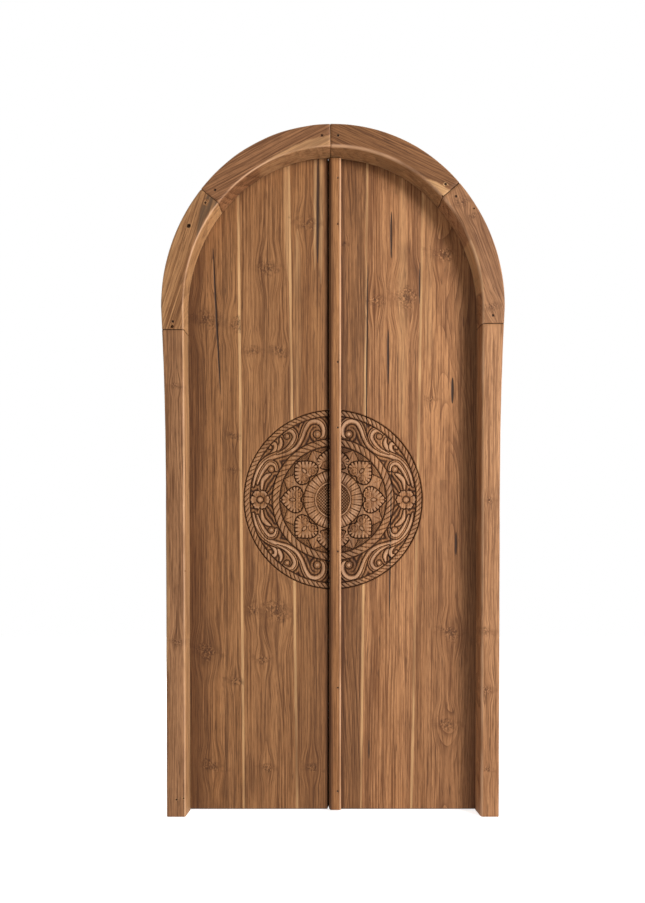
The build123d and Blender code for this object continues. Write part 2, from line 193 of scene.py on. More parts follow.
# %% Section of a frame timber
def rounded_section(corners, step):
    """Points round a polygon whose corners have their own radii; a mark is 1 on the rounded parts."""
    points, marks = [], []
    count = len(corners)
    for index in range(count):
        corner = Vector(corners[index][:2])
        before = (Vector(corners[index - 1][:2]) - corner).normalized()
        after = (Vector(corners[(index + 1) % count][:2]) - corner).normalized()
        radius = corners[index][2]
        for share in np.linspace(0, 1, 7):
            near = corner + before * radius * (1 - share) ** 2 + after * radius * share**2
            points.append(near)
            marks.append(4 * share * (1 - share))
        reach = (Vector(corners[(index + 1) % count][:2]) - corner).length
        last = reach - corners[(index + 1) % count][2]
        for place in np.arange(radius + step, last - step / 2, step):
            points.append(corner + after * place)
            marks.append(0)
    return np.array(points), np.array(marks)


def timber_section(planed, round_over):
    """The frame's section; planed is what was taken off the reveal, round_over eases its front corner."""
    corners = [
        (planed, frame_front, round_over), (band, frame_front, 4 * mm), (band, frame_back, 3 * mm),
        (rebate_lap, frame_back, 2 * mm), (rebate_lap, stop_back, 1 * mm), (planed, stop_back, 2.5 * mm),
    ]
    return rounded_section(corners, 7 * mm)


crisp_section = timber_section(4 * mm, 6 * mm)
worn_section = timber_section(1.5 * mm, 12 * mm)
print("frame section:", len(crisp_section[0]), "points")

# %% [markdown]
# A jamb is narrower at its foot than where the arch begins, and the segments meet at unequal shoulders. So
# the path of a timber is a list of stations: a point on the opening's edge, the way out across the timber,
# and how wide the timber is there.

# %% Stations along the frame
station_step = 12 * mm
flare_start = 1150 * mm
foot_band = 69 * mm
flare_radius = ((springing - flare_start) ** 2 + (band - foot_band) ** 2) / (2 * (band - foot_band))
left_leg, right_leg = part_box("left_jamb")[1].z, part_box("right_jamb")[1].z
crown_joint = pi / 2 + 10 * mm / crown_radius


def shoulder_angle(ray):
    """Turn a shoulder's angle about the crown's centre into the arch's own angle there."""
    reach = crown_radius - band / 2
    side, rise = reach * cos(radians(ray)), crown_centre + reach * sin(radians(ray)) - springing
    return atan2(rise, side + haunch_shift)


def leg_stations(side, low, high):
    """Stations up a leg, whose width swells towards the arch."""
    stations = []
    for height in np.linspace(low, high, int((high - low) / station_step) + 2):
        flare = max(height - flare_start, 0) ** 2 / (2 * flare_radius)
        stations.append((Vector((side * opening_half, 0, height)), Vector((side, 0, 0)), foot_band + flare))
    return stations


def arch_stations(start, end):
    """Stations round the arch, all of one width."""
    count = int(abs(end - start) * crown_radius / station_step) + 2
    return [(*arch_station(angle), band) for angle in np.linspace(start, end, count)]


left_shoulder, right_shoulder = pi - shoulder_angle(37.6), shoulder_angle(40.5)
timber_stations = {
    "left_jamb": leg_stations(-1, 0, left_leg),
    "right_jamb": leg_stations(1, 0, right_leg),
    "left_lower_arch_segment": leg_stations(-1, left_leg, springing)[:-1] + arch_stations(pi, left_shoulder),
    "right_lower_arch_segment": leg_stations(1, right_leg, springing)[:-1] + arch_stations(0, right_shoulder),
    "left_upper_arch_segment": arch_stations(left_shoulder, crown_joint),
    "right_upper_arch_segment": arch_stations(right_shoulder, crown_joint),
}
print("stations:", {name: len(stations) for name, stations in timber_stations.items()})

# %% [markdown]
# The timbers on the left kept crisp corners, those on the right are worn round. Each reveal leans a little
# into the opening towards the leaf, the left one also towards the foot, and dirt has gathered in the
# joints. The sweep keeps these facts on its points as marks: how far along and across a place lies, whether
# it is on a corner or at a joint.

# %% Sweep the six timbers
joint_ease = 2.2 * mm
reveal_splay = 5 * mm
worn_back = 2 * mm
foot_splay = 4 * mm
foot_splay_run = 450 * mm
face_wear = 0.9 * mm
grain_wear = 0.3 * mm
corner_wear = 3.0 * mm
joint_grime = {
    "left_jamb": (0, 0.9), "right_jamb": (0, 0.9),
    "left_lower_arch_segment": (0.9, 0.45), "right_lower_arch_segment": (0.9, 0.9),
    "left_upper_arch_segment": (0.45, 0), "right_upper_arch_segment": (0.9, 0.8),
}


def splay(profile, height, name):
    """How far the reveal leans into the opening at each point of the section."""
    inner = np.clip(1 - profile[:, 0] / rebate_lap, 0, 1)
    behind = np.clip((profile[:, 1] - frame_front) / (stop_back - frame_front), 0, 1)
    if name.startswith("right"):
        return inner * (reveal_splay * behind - worn_back * (1 - behind))
    return inner * (reveal_splay * behind + foot_splay * np.clip((springing - height) / foot_splay_run, 0, 1))


def eased(end, inner):
    """A station a little way in from an end, on the way to the next one."""
    run = (inner[0] - end[0]).length
    return tuple(a + (b - a) * joint_ease / run for a, b in zip(end, inner))


def timber(name, stations, seed):
    """Sweep the section along the stations, eased at both ends and worn by noise."""
    profile, corners = worn_section if name.startswith("right") else crisp_section
    inward = np.roll(profile, -1, axis=0) - np.roll(profile, 1, axis=0)
    inward = np.stack([-inward[:, 1], inward[:, 0]], axis=1)
    inward /= np.linalg.norm(inward, axis=1, keepdims=True)
    first, last = stations[0], stations[-1]
    stations = [first, eased(first, stations[1]), *stations[1:-1], eased(last, stations[-2]), last]
    rings = []
    for index, (place, out, width) in enumerate(stations):
        ease = joint_ease if index in (0, len(stations) - 1) else 0
        section = profile + inward * ease
        section[:, 0] -= splay(profile, place.z, name)
        beyond = np.maximum(section[:, 0] - rebate_lap, 0) * (width - rebate_lap) / (band - rebate_lap)
        across = np.minimum(section[:, 0], rebate_lap) + beyond
        ring = np.array(place)[None, :] + across[:, None] * np.array(out)[None, :]
        ring[:, 1] = section[:, 1]
        worn = ripple(ring, 9, seed) * face_wear + ripple(ring, 40, seed + 5) * grain_wear
        worn = worn + corners * ripple(ring, 14, seed + 9) ** 2 * corner_wear
        ring += inward[:, :1] * worn[:, None] * np.array(out)[None, :]
        ring[:, 1] += inward[:, 1] * worn
        rings.append(ring)
    points, faces = skin(rings)
    count = len(profile)
    joint = np.zeros((len(rings), count))
    joint[0], joint[-1] = joint_grime[name]
    arris = np.tile(corners, (len(rings), 1))
    if name == "left_upper_arch_segment":
        arris[-1] = 1
    marks = {
        "arris": arris, "across": np.tile(np.clip(profile[:, 0] / band, 0, 1), len(rings)),
        "along": np.repeat(np.linspace(0, 1, len(rings)), count), "joint": joint,
    }
    return add_piece(f"{name}_timber", points, faces, "frame", [name], marks)


timbers = {}
for seed, (name, stations) in enumerate(timber_stations.items()):
    timbers[name] = timber(name, stations, seed)
print("timbers:", {name: len(piece.data.polygons) for name, piece in timbers.items()})

# %% [markdown]
# The pegs sit a little below the face, in square holes, and old nails have left round ones. A dark dot in
# the material would look painted on from the side, so the holes are real: a Boolean modifier takes the
# cutters out of the timbers. The square cutters are measured from the loaded pegs themselves.

# %% Helpers for holes
def separate_bars(node, reach):
    """Corner points of each bar in a node, gathered by how near they lie in X and Z."""
    bars = []
    for vertex in nodes[node].data.vertices:
        place = Vector((vertex.co.x, vertex.co.z))
        near = [bar for bar in bars if (bar[0][0] - place).length < reach]
        if near:
            near[0].append((place, vertex.co.y))
        else:
            bars.append([(place, vertex.co.y)])
    return bars


def prism(outline, near, far):
    """Points and faces of a bar along Y with the given outline in X and Z."""
    count = len(outline)
    points = [(x, y, z) for y in (near, far) for x, z in outline]
    faces = [[i, (i + 1) % count, count + (i + 1) % count, count + i] for i in range(count)]
    return points, [*faces, list(range(count))[::-1], list(range(count, 2 * count))]


def round_outline(x, z, radius, sides=14):
    """Points round a circle in X and Z."""
    turns = [2 * pi * side / sides for side in range(sides)]
    return [(x + radius * cos(turn), z + radius * sin(turn)) for turn in turns]


def cutter_object(name, prisms):
    """One object of all the bars that cut holes."""
    points, faces = [], []
    for new_points, new_faces in prisms:
        faces += [[corner + len(points) for corner in face] for face in new_faces]
        points += new_points
    mesh = bpy.data.meshes.new(name)
    mesh.from_pydata(points, [], faces)
    face_outwards(mesh)
    cutter = bpy.data.objects.new(name, mesh)
    bpy.context.scene.collection.objects.link(cutter)
    return cutter


def cut(pieces, cutter):
    """Take the cutter out of the pieces for good, then throw it away."""
    for piece in pieces:
        modifier = piece.modifiers.new("holes", "BOOLEAN")
        modifier.object = cutter
        modifier.solver = "EXACT"
        shown = piece.evaluated_get(bpy.context.evaluated_depsgraph_get())
        holed = bpy.data.meshes.new_from_object(shown)
        piece.modifiers.clear()
        piece.data = holed
        holed.set_sharp_from_angle(angle=radians(50))
    bpy.data.objects.remove(cutter)


# %% Cut the peg and nail holes
cutter_reach = 10 * mm
peg_play = 1.03
nail_hole_depth = 14 * mm
peg_holes = []
for bar in separate_bars("frame_pegs", 25 * mm):
    front = min(depth for _, depth in bar)
    corners = {(round(place.x, 5), round(place.y, 5)) for place, _ in bar}
    middle = sum((Vector(corner) for corner in corners), Vector((0, 0))) / len(corners)
    corners = sorted(corners, key=lambda corner: atan2(corner[1] - middle.y, corner[0] - middle.x))
    outline = [middle + (Vector(corner) - middle) * peg_play for corner in corners]
    outline = [(corner.x, corner.y) for corner in outline]
    peg_holes.append(prism(outline, frame_front - cutter_reach, front + 0.4 * mm))
nail_holes = [
    (-0.504, 2.077, 8.0), (-0.563, 1.7265, 6.0), (0.493, 2.137, 3.0), (0.384, 2.180, 2.5),
    (0.400, 2.139, 3.0), (-0.553, 0.062, 3.5), (-0.528, 0.067, 3.0), (-0.520, 0.870, 2.5),
    (0.549, 1.120, 2.0),
]
nail_prisms = [
    prism(round_outline(x, z, radius * mm), frame_front - cutter_reach, frame_front + nail_hole_depth)
    for x, z, radius in nail_holes
]
cut(timbers.values(), cutter_object("frame_holes", peg_holes + nail_prisms))
print("holes:", len(peg_holes), "for pegs,", len(nail_holes), "from old nails")

# %% [markdown]
# ## The carved relief
# The medallion is chip carving: a disc of ground is sunk a little and the rope rings, scrolls and lotus
# leaves stay as high as the plank's face. Displacing a texture image is one way to make it. Here the height
# is a formula in the carver's own terms, rings by radius and stems by their distance from a drawn line, so
# that the edges stay crisp and nothing is read from a picture.

# %% Outlines of the carving, as shares of the medallion's radius
medallion_radius = 324 * mm
medallion_height = 1127 * mm
carving_depth = 9 * mm
rope_outer_shares = (0.933, 0.990)
rope_inner_shares = (0.600, 0.676)
heart_shares = (0.338, 0.598)
heart_half_width_share = 0.143
tall_heart_half_width_share = 0.180
heart_outline_shares = [
    (0.12, 0), (0, 0.42), (0.11, 0.87), (0.31, 1.0), (0.53, 0.86), (0.75, 0.48), (0.90, 0.15), (1.0, 0),
]
back_leaf_shares = (0.36, 0.596)
back_leaf_half_width_share = 0.085
petal_shares = (0.209, 0.327)
dome_share = 0.209
rosette_place_share = 0.815
stem_shares = [
    (0.160, 0.690, 0.020), (0.109, 0.704, 0.026), (0.093, 0.771, 0.028), (0.121, 0.845, 0.029),
    (0.188, 0.884, 0.030), (0.266, 0.866, 0.028), (0.316, 0.793, 0.025), (0.355, 0.687, 0.022),
    (0.417, 0.587, 0.023), (0.512, 0.531, 0.026), (0.635, 0.497, 0.026), (0.741, 0.447, 0.025),
    (0.819, 0.369, 0.022), (0.869, 0.268, 0.020), (0.893, 0.156, 0.011),
]
tall_frond_shares = [
    (0.623, 0.508, 0.008), (0.528, 0.553, 0.016), (0.456, 0.620, 0.022), (0.420, 0.698, 0.024),
    (0.447, 0.762, 0.024), (0.506, 0.779, 0.022), (0.545, 0.743, 0.018),
]
middle_frond_shares = [
    (0.588, 0.680, 0.010), (0.580, 0.628, 0.017), (0.610, 0.570, 0.018), (0.674, 0.516, 0.008),
]
short_frond_shares = [
    (0.758, 0.469, 0.008), (0.685, 0.514, 0.013), (0.642, 0.572, 0.016), (0.652, 0.622, 0.016),
    (0.696, 0.618, 0.014),
]
flower_scroll_shares = [
    (0.633, 0.341, 0.018), (0.655, 0.397, 0.021), (0.712, 0.409, 0.023), (0.763, 0.360, 0.021),
    (0.813, 0.274, 0.017), (0.847, 0.179, 0.010),
]
flower_leaf_shares = [
    (0.797, 0.118, 0.008), (0.785, 0.207, 0.018), (0.741, 0.263, 0.018), (0.702, 0.285, 0.008),
]
eye_shares = [(0.176, 0.729, 0.040), (0.516, 0.706, 0.029), (0.702, 0.585, 0.023), (0.689, 0.340, 0.034)]
grooved_stems = [stem_shares, tall_frond_shares, flower_scroll_shares]
plain_fronds = [middle_frond_shares, short_frond_shares, flower_leaf_shares]
print("a quarter has", len(grooved_stems + plain_fronds), "stems and fronds and", len(eye_shares), "eyes")

# %% [markdown]
# ### Scrolls
# A carver draws the line of a stem first and cuts down on both sides of it. Each stem here is a soft curve
# through a few drawn points, and its roundness follows from the distance to that curve. The ground between
# the stems is filled with lines that echo them.

# %% Stems, fronds and eyes
stem_fullness = 1.3
bulb_low, bulb_rise = 0.55, 0.42


def smooth_path(shares, parts=5):
    """A soft curve through the drawn points, with the widths carried along."""
    points = np.array([shares[0], *shares, shares[-1]])
    path = []
    for a, b, c, d in zip(points, points[1:], points[2:], points[3:]):
        for t in np.arange(parts) / parts:
            bend = (2 * a - 5 * b + 4 * c - d) * t**2 + (3 * b - a - 3 * c + d) * t**3
            path.append(0.5 * (2 * b + (c - a) * t + bend))
    return np.array([*path, points[-1]])


def groove(distance, half):
    """A rounded cut, 1 at its middle, for any distance from it."""
    return np.exp(-((distance / half) ** 2))


def dome(away):
    """The height of a ball from its middle, 1, to its rim, 0."""
    return np.sqrt(np.clip(1 - away**2, 0, 1))


def across_stem(u, v, shares):
    """How far each place lies from a stem's line, in half widths, on which side, and that half width."""
    nearest = np.full(u.shape, 9.0)
    widths = np.full(u.shape, 0.02)
    sides = np.ones(u.shape)
    path = smooth_path(shares)
    for start, end in zip(path, path[1:]):
        step = end - start
        along = ((u - start[0]) * step[0] + (v - start[1]) * step[1]) / (step[0] ** 2 + step[1] ** 2 + 1e-12)
        along = np.clip(along, 0, 1)
        width = (start[2] + step[2] * along) * stem_fullness
        away = np.hypot(u - start[0] - step[0] * along, v - start[1] - step[1] * along) / width
        turned = np.sign(step[0] * (v - start[1]) - step[1] * (u - start[0]))
        widths = np.where(away < nearest, width, widths)
        sides = np.where(away < nearest, turned, sides)
        nearest = np.minimum(nearest, away)
    return nearest, sides, widths


def edge(distance, wall):
    """1 inside, 0 outside, with a sloping wall between."""
    t = np.clip(0.5 - distance / wall, 0, 1)
    return t * t * (3 - 2 * t)


def scrollwork(u, v):
    """Stems, fronds and curled eyes; one quarter is drawn and the other three mirror it."""
    u, v = np.abs(u), np.abs(v)
    height = np.zeros(u.shape)
    clear = np.full(u.shape, 1.0)
    for shares in plain_fronds + grooved_stems:
        across, sides, width = across_stem(u, v, shares)
        clear = np.minimum(clear, (across - 1) * width)
        ridges = 0.56 + 0.42 * dome(across)
        if shares in grooved_stems:
            ridges = ridges - 0.60 * groove(across * sides - 0.36, 0.15)
        height = np.maximum(height * edge(1.2 - across, 0.3), edge(across - 1, 0.25) * ridges)
    for place, up, size in eye_shares:
        away = np.hypot(u - place, v - up) / size
        clear = np.minimum(clear, (away - 1) * size)
        bulb = bulb_low + bulb_rise * dome(away) - 0.25 * groove(away - 0.62, 0.14)
        height = np.maximum(height * edge(1.2 - away, 0.2), edge(away - 1, 0.2) * bulb)
    echo = 0.44 - 0.30 * np.cos(2 * pi * np.maximum(clear, 0) / 0.048)
    return np.maximum(height, echo * edge(-clear, 0.006))


print("main stem:", len(smooth_path(stem_shares)), "points along its curve")

# %% [markdown]
# ### Ropes and side flowers
# Two rope rings are laid flat and cut across with slanting grooves, one for each strand. A flower with six
# petals sits at either side, between the ropes.

# %% Ropes and side flowers
strand_groove = 0.070
button_share = 0.031


def rope(radius, angle, shares, strands, slant):
    """A twisted rope between two radii: a flat bar with slanting grooves."""
    low, high = shares
    middle, half = (low + high) / 2, (high - low) / 2
    across = (radius - middle) / half
    bar = np.clip(1 - across**10, 0, 1) ** 0.5
    turn = (strands * angle / (2 * pi) - slant * across + 0.5) % 1 - 0.5
    swell = 0.86 + 0.10 * np.cos(pi * (np.abs(turn) - 0.5)) ** 2
    return np.where(np.abs(across) < 1, bar * (swell - 0.62 * groove(turn, strand_groove)), 0)


def rosette(u, v):
    """A six-petalled flower at each side."""
    u = np.abs(u) - rosette_place_share
    away, angle = np.hypot(u, v), np.arctan2(v, u)
    lobes = np.abs(np.cos(3 * angle))
    reach = 0.080 + 0.026 * lobes**0.5 + 0.004 * np.cos(18 * angle)
    along = np.clip(away / reach, 0, 1)
    petal = 0.54 + 0.42 * along**1.3 - 0.55 * groove(lobes, 0.20) * along
    petal = petal - 0.45 * groove(away - 0.038, 0.008)
    button = bulb_low + bulb_rise * dome(away / button_share)
    height = np.where(away < button_share, button, petal * edge((away - reach) / 0.02, 0.5))
    return height, edge((away - reach - 0.010) / 0.02, 0.4)


for low, high in (rope_outer_shares, rope_inner_shares):
    print("rope:", round((high - low) * medallion_radius / mm, 1), "mm wide")

# %% [markdown]
# ### Lotus leaves
# Eight heart-shaped leaves stand round the flower. Their rims are fluted with a gouge, so the flutes are
# counted by the way travelled round the outline. Plain pointed leaves show between them.

# %% Lotus leaves
flute_pitch = 0.043
notch_half = 0.14
fold_width = 0.105
eye_size = 0.015
curl_size = 0.042


def heart(radius, local, half):
    """A heart leaf with a fluted rim, two curls and an eye; local is the angle from its middle."""
    low, high = heart_shares
    length = high - low
    along = (radius * np.cos(local) - low) / length
    side = np.abs(radius * np.sin(local)) / half
    outline = smooth_path([(*share, 1.0) for share in heart_outline_shares], 4)
    rim = np.full(radius.shape, 9.0)
    place = np.zeros(radius.shape)
    travelled = 0.0
    u, v = along * length, side * half
    for start, end in zip(outline * [length, half, 1], outline[1:] * [length, half, 1]):
        step = end - start
        run = np.hypot(step[0], step[1])
        share = ((u - start[0]) * step[0] + (v - start[1]) * step[1]) / (run**2 + 1e-12)
        share = np.clip(share, 0, 1)
        away = np.hypot(u - start[0] - step[0] * share, v - start[1] - step[1] * share)
        place = np.where(away < rim, travelled + run * share, place)
        rim = np.minimum(rim, away)
        travelled += run
    widest = np.argmax(outline[:, 1])
    outer = np.interp(along, outline[widest:, 0], outline[widest:, 1], left=outline[widest, 1], right=0)
    inner = np.interp(side, outline[: widest + 1, 1], outline[: widest + 1, 0])
    inside = (side < outer) & (along > inner) & (along < 1)
    rim = np.where(inside, rim, -rim)
    flute = (place / flute_pitch) % 1 - 0.5
    notch = groove(flute, notch_half)
    fold = np.clip(1 - rim / fold_width, 0, 1)
    leaf = 0.70 + 0.27 * fold**0.6 - 0.20 * notch * fold
    leaf = leaf - 0.75 * notch * np.clip(1 - rim / 0.038, 0, 1) ** 0.6
    leaf = leaf - 0.30 * groove(v, 0.006) * (along > 0.54) * (along < 0.88)
    curl_along, curl_side = (along - 0.17) * length, (side - 0.42) * half
    curl = np.hypot(curl_along, curl_side) / curl_size
    crescent = groove(curl - 0.52, 0.17) * (curl_along < 0.010)
    leaf = np.where(curl < 1, 0.82 - 0.40 * crescent, leaf - 0.30 * groove(curl - 1.12, 0.12))
    eye = np.hypot((along - 0.44) * length / 1.7, v) / eye_size
    leaf = np.where(eye < 1, 0.95, leaf * (1 - 0.6 * groove(eye - 1.25, 0.25)))
    worked = rim - 0.007 * notch
    return edge(-worked / 0.010, 1.0) * leaf, edge(-rim / 0.010 - 1.0, 0.8)


def back_leaf(radius, local):
    """A plain pointed leaf that shows between two hearts, nicked along its edges."""
    low, high = back_leaf_shares
    along = (radius * np.cos(local) - low) / (high - low)
    side = np.abs(radius * np.sin(local)) / back_leaf_half_width_share
    wide = np.interp(along, [0, 0.40, 0.64, 0.84, 1], [1.6, 1.60, 1.15, 0.55, 0])
    out = side / np.maximum(wide, 0.05)
    rim = (side - wide) * back_leaf_half_width_share
    nick = groove((along * 5.5 - out * 1.4) % 1 - 0.5, 0.09) * np.clip(out * 2.6 - 1.5, 0, 1)
    leaf = 0.72 + 0.14 * np.cos(pi * np.clip(out, 0, 1) / 2) - 0.60 * nick
    leaf = leaf - 0.30 * groove(side * back_leaf_half_width_share, 0.005) * (along > 0.55)
    ground = 0.62 - 0.5 * groove((local * 40) % 1 - 0.5, 0.12)
    return np.where((rim < 0) & (along < 1), leaf, ground) - 0.55 * groove(rim, 0.0055)


def lotus(radius, angle):
    """Eight fluted heart leaves round the flower, with plain pointed leaves behind them."""
    turn = 2 * pi / 8
    behind = back_leaf(radius, (angle + turn) % turn - turn / 2)
    local = (angle + turn / 2) % turn - turn / 2
    leaf, clear = heart(radius, local, heart_half_width_share)
    tall_leaf, tall_clear = heart(radius, local, tall_heart_half_width_share)
    tall = np.abs(np.sin(angle - local)) > 0.9
    leaf, clear = np.where(tall, tall_leaf, leaf), np.where(tall, tall_clear, clear)
    return np.maximum(behind * (1 - clear), leaf)


print("heart leaf:", round((heart_shares[1] - heart_shares[0]) * medallion_radius / mm), "mm long")

# %% [markdown]
# ### The flower and the whole relief
# A ring of petals and a hatched dome make the middle. Then everything is laid together by radius: inside the
# inner rope the lotus, between the ropes the scrolls, and a fine cut along each rope. Besides the depth it
# gives painted shade, mixed with dirt, in the hollows, and painted highlights, mixed with hand rubbing, on
# the high places.

# %% Flower and whole relief
petal_count = 29
hatch_pitch = 0.034
rope_strands = 108, 58
rope_slants = 0.55, 0.62
ring_cut = 0.006
rubbed_highlight_share = 0.85
rubbed_highlight_parts = ((rope_outer_shares, 0.35), (rope_inner_shares, 0.35), (heart_shares, 0.6))


def flower(radius, angle):
    """Radial petals and the hatched dome in the middle."""
    low, high = petal_shares
    along = (radius - low) / (high - low)
    turn = (petal_count * angle / (2 * pi) + 0.5) % 1 - 0.5
    petal = 0.80 - 0.60 * groove(turn, 0.075) * np.clip(along * 3 + 0.4, 0, 1)
    petal = petal + 0.14 * np.sin(pi * np.clip(along, 0, 1)) - 0.10 * groove(np.abs(turn) - 0.5, 0.10)
    petals = edge(along - 0.97, 0.08) * petal
    inner = radius / dome_share
    u, v = radius * np.cos(angle), radius * np.sin(angle)
    hatch = np.minimum(*(np.abs(np.sin(pi * line / hatch_pitch)) for line in (u + v, u - v)))
    cut = (1 - np.clip(hatch * 1.7, 0, 1)) * edge(inner - 0.87, 0.04)
    middle = 0.66 + 0.32 * dome(inner) - 0.62 * cut - 0.40 * groove(inner - 0.885, 0.022)
    ring = 0.95 - 0.55 * groove(inner - 1.0, 0.022)
    return np.where(inner < 0.90, middle, np.where(inner < 1, ring, petals))


def carved(x, z):
    """Depth of the carving, painted shade with dirt in its hollows, where it lies, and painted highlights
    with rubbed wear on its high places.
    """
    u, v = x / medallion_radius, (z - medallion_height) / medallion_radius
    radius, angle = np.hypot(u, v), np.arctan2(v, u)
    height = np.zeros(radius.shape)
    field = (radius > rope_inner_shares[1]) & (radius < rope_outer_shares[0])
    leaves, clear = rosette(u, v)
    height = np.where(field, np.maximum(scrollwork(u, v) * (1 - clear), leaves * clear), height)
    height = np.where(radius < rope_inner_shares[0], lotus(radius, angle), height)
    height = np.where(radius < petal_shares[1] + 0.004, flower(radius, angle), height)
    for line in (rope_outer_shares[0] - 0.006, rope_inner_shares[1] + 0.006, rope_inner_shares[0] - 0.005):
        height = height * (1 - 0.9 * groove(radius - line, ring_cut))
    for shares, strands, slant in zip((rope_outer_shares, rope_inner_shares), rope_strands, rope_slants):
        height = np.maximum(height, rope(radius, angle, shares, strands, slant))
    outside = edge((1.0 - radius) / 0.010, 1.0)
    height = np.clip(np.maximum(height, outside), 0, 1)
    inside = edge((radius - 1.0) / 0.010, 1.0)
    # painted shade in the deep hollows, mixed with dirt
    hollow = np.clip((0.62 - height) / 0.42, 0, 1) * inside
    # painted highlight on the high places, mixed with rubbed wear
    rubbed_highlight = np.clip((height - 0.80) / 0.14, 0, 1) * inside * rubbed_highlight_share
    for (low, high), kept in rubbed_highlight_parts:
        rubbed_highlight = np.where((radius > low) & (radius < high), rubbed_highlight * kept, rubbed_highlight)
    return carving_depth * (1 - height), hollow, inside, rubbed_highlight


print("relief:", round(carving_depth / mm), "mm deep, with", petal_count, "petals round the dome")

# %% [markdown]
# ## The planks
# Three wide planks make each leaf. A carved plank needs a dense grid, but only where the medallion is, so
# the rows and columns are close together there and far apart elsewhere. The columns stretch up to the
# arched top, and the long edges are eased so that the seams read as fine lines.

# %% Rows and columns of a plank
fine = 1.5 * mm
coarse_row = 30 * mm
coarse_column = 9 * mm
stretch_from = 1560 * mm
seam_ease = 0.9 * mm
foot_ease = 3 * mm


def spaced(low, high, step):
    """Even places from low to high, no further apart than step."""
    return np.linspace(low, high, max(int(np.ceil((high - low) / step)), 1) + 1)


def plank_rows():
    """Heights below the stretched part, dense across the medallion, and shares of the rest above."""
    reach = medallion_radius + 6 * mm
    low = spaced(leaf_foot + foot_ease, medallion_height - reach, coarse_row)
    middle = spaced(medallion_height - reach, medallion_height + reach, fine)
    high = spaced(medallion_height + reach, stretch_from, coarse_row)
    return np.concatenate([[leaf_foot], low[:-1], middle[:-1], high]), spaced(0, 1, 0.04)[1:]


def plank_columns(left, right, carved_here, hinge_side):
    """Shares of a plank's width: dense where it is carved and where its top bends down steeply."""
    width = right - left
    eased_left, eased_right = left + 2 * seam_ease, right - 2 * seam_ease
    places = [np.array([0, seam_ease * 0.4, seam_ease])]
    places.append(spaced(eased_left, eased_right, coarse_column) - left)
    places.append(np.array([width - seam_ease, width - seam_ease * 0.4, width]))
    if carved_here:
        near = max(eased_left, -medallion_radius - 4 * mm)
        far = min(eased_right, medallion_radius + 4 * mm)
        places.append(spaced(near, far, fine) - left)
    if hinge_side:
        haunch = haunch_radius - leaf_inset
        curve = haunch * np.cos(np.linspace(0, 0.62, 40)) - haunch_shift
        edge_run = leaf_half - curve
        places.append(edge_run if hinge_side < 0 else width - edge_run)
    shares = np.unique(np.round(np.concatenate(places) / width, 6))
    shares = shares[(shares >= 0) & (shares <= 1)]
    keep = np.concatenate([[True], np.diff(shares) * width > 0.25 * mm])
    keep[-1] = True
    return shares[keep]


row_heights, shares_up = plank_rows()
print("rows of a plank:", len(row_heights) + len(shares_up))

# %% [markdown]
# The front of a plank is dense and its back is plain, so their rims have different counts of points. The two
# are closed with triangles, like the teeth of a zip, and no edge is left open.

# %% Faces of a plank
def zip_edges(front, back, front_shares, back_shares):
    """Triangles between two rows of points that have different counts."""
    faces = []
    i = j = 0
    while i < len(front) - 1 or j < len(back) - 1:
        step_front = front_shares[i + 1] if i < len(front) - 1 else 9
        step_back = back_shares[j + 1] if j < len(back) - 1 else 9
        if step_front <= step_back:
            faces.append([front[i], front[i + 1], back[j]])
            i += 1
        else:
            faces.append([front[i], back[j + 1], back[j]])
            j += 1
    return faces


def plank_faces(rows, columns, back_columns):
    """Front, back, both long edges and both ends of a plank."""
    across, behind = len(columns), len(back_columns)
    start = rows * across
    front = np.arange(start).reshape(rows, across)
    back = start + np.arange(rows * behind).reshape(rows, behind)
    faces = grid_faces(rows, across)
    faces += [face[::-1] for face in grid_faces(rows, behind, start)]
    for row in range(rows - 1):
        faces.append([front[row, -1], back[row, -1], back[row + 1, -1], front[row + 1, -1]])
        faces.append([back[row, 0], front[row, 0], front[row + 1, 0], back[row + 1, 0]])
    faces += [face[::-1] for face in zip_edges(front[0], back[0], columns, back_columns)]
    faces += zip_edges(front[-1], back[-1], columns, back_columns)
    return [[int(corner) for corner in face] for face in faces]


# %% [markdown]
# One function shapes all six planks. It lays the grid between two leaning seams, sinks the carving into it,
# opens the seams a little and lets the face sway, as on wood that was planed by hand.

# %% One plank
arch_shade_reach = 38 * mm
seam_gap = 0.5 * mm
seam_opening = 2.6 * mm
sway_depth = 0.25 * mm
back_count = 14
top_share = 0.93


def plank_surface(left, right, shares, trims):
    """Where the points of a plank's face lie in x and z; trims bevel its long edges."""
    low_z = np.repeat(row_heights[:, None], len(shares), axis=1)
    top_left = left[0] + (left[1] - left[0]) * top_share
    top_right = right[0] + (right[1] - right[0]) * top_share
    tops = leaf_top(top_left + trims[0] + (top_right - trims[1] - top_left - trims[0]) * shares)
    high_z = stretch_from + shares_up[:, None] * (tops - stretch_from)[None, :]
    z = np.concatenate([low_z, high_z])
    along = z / door_height
    edge_left = left[0] + (left[1] - left[0]) * along + trims[0]
    edge_right = right[0] + (right[1] - right[0]) * along - trims[1]
    return edge_left + (edge_right - edge_left) * shares[None, :], z


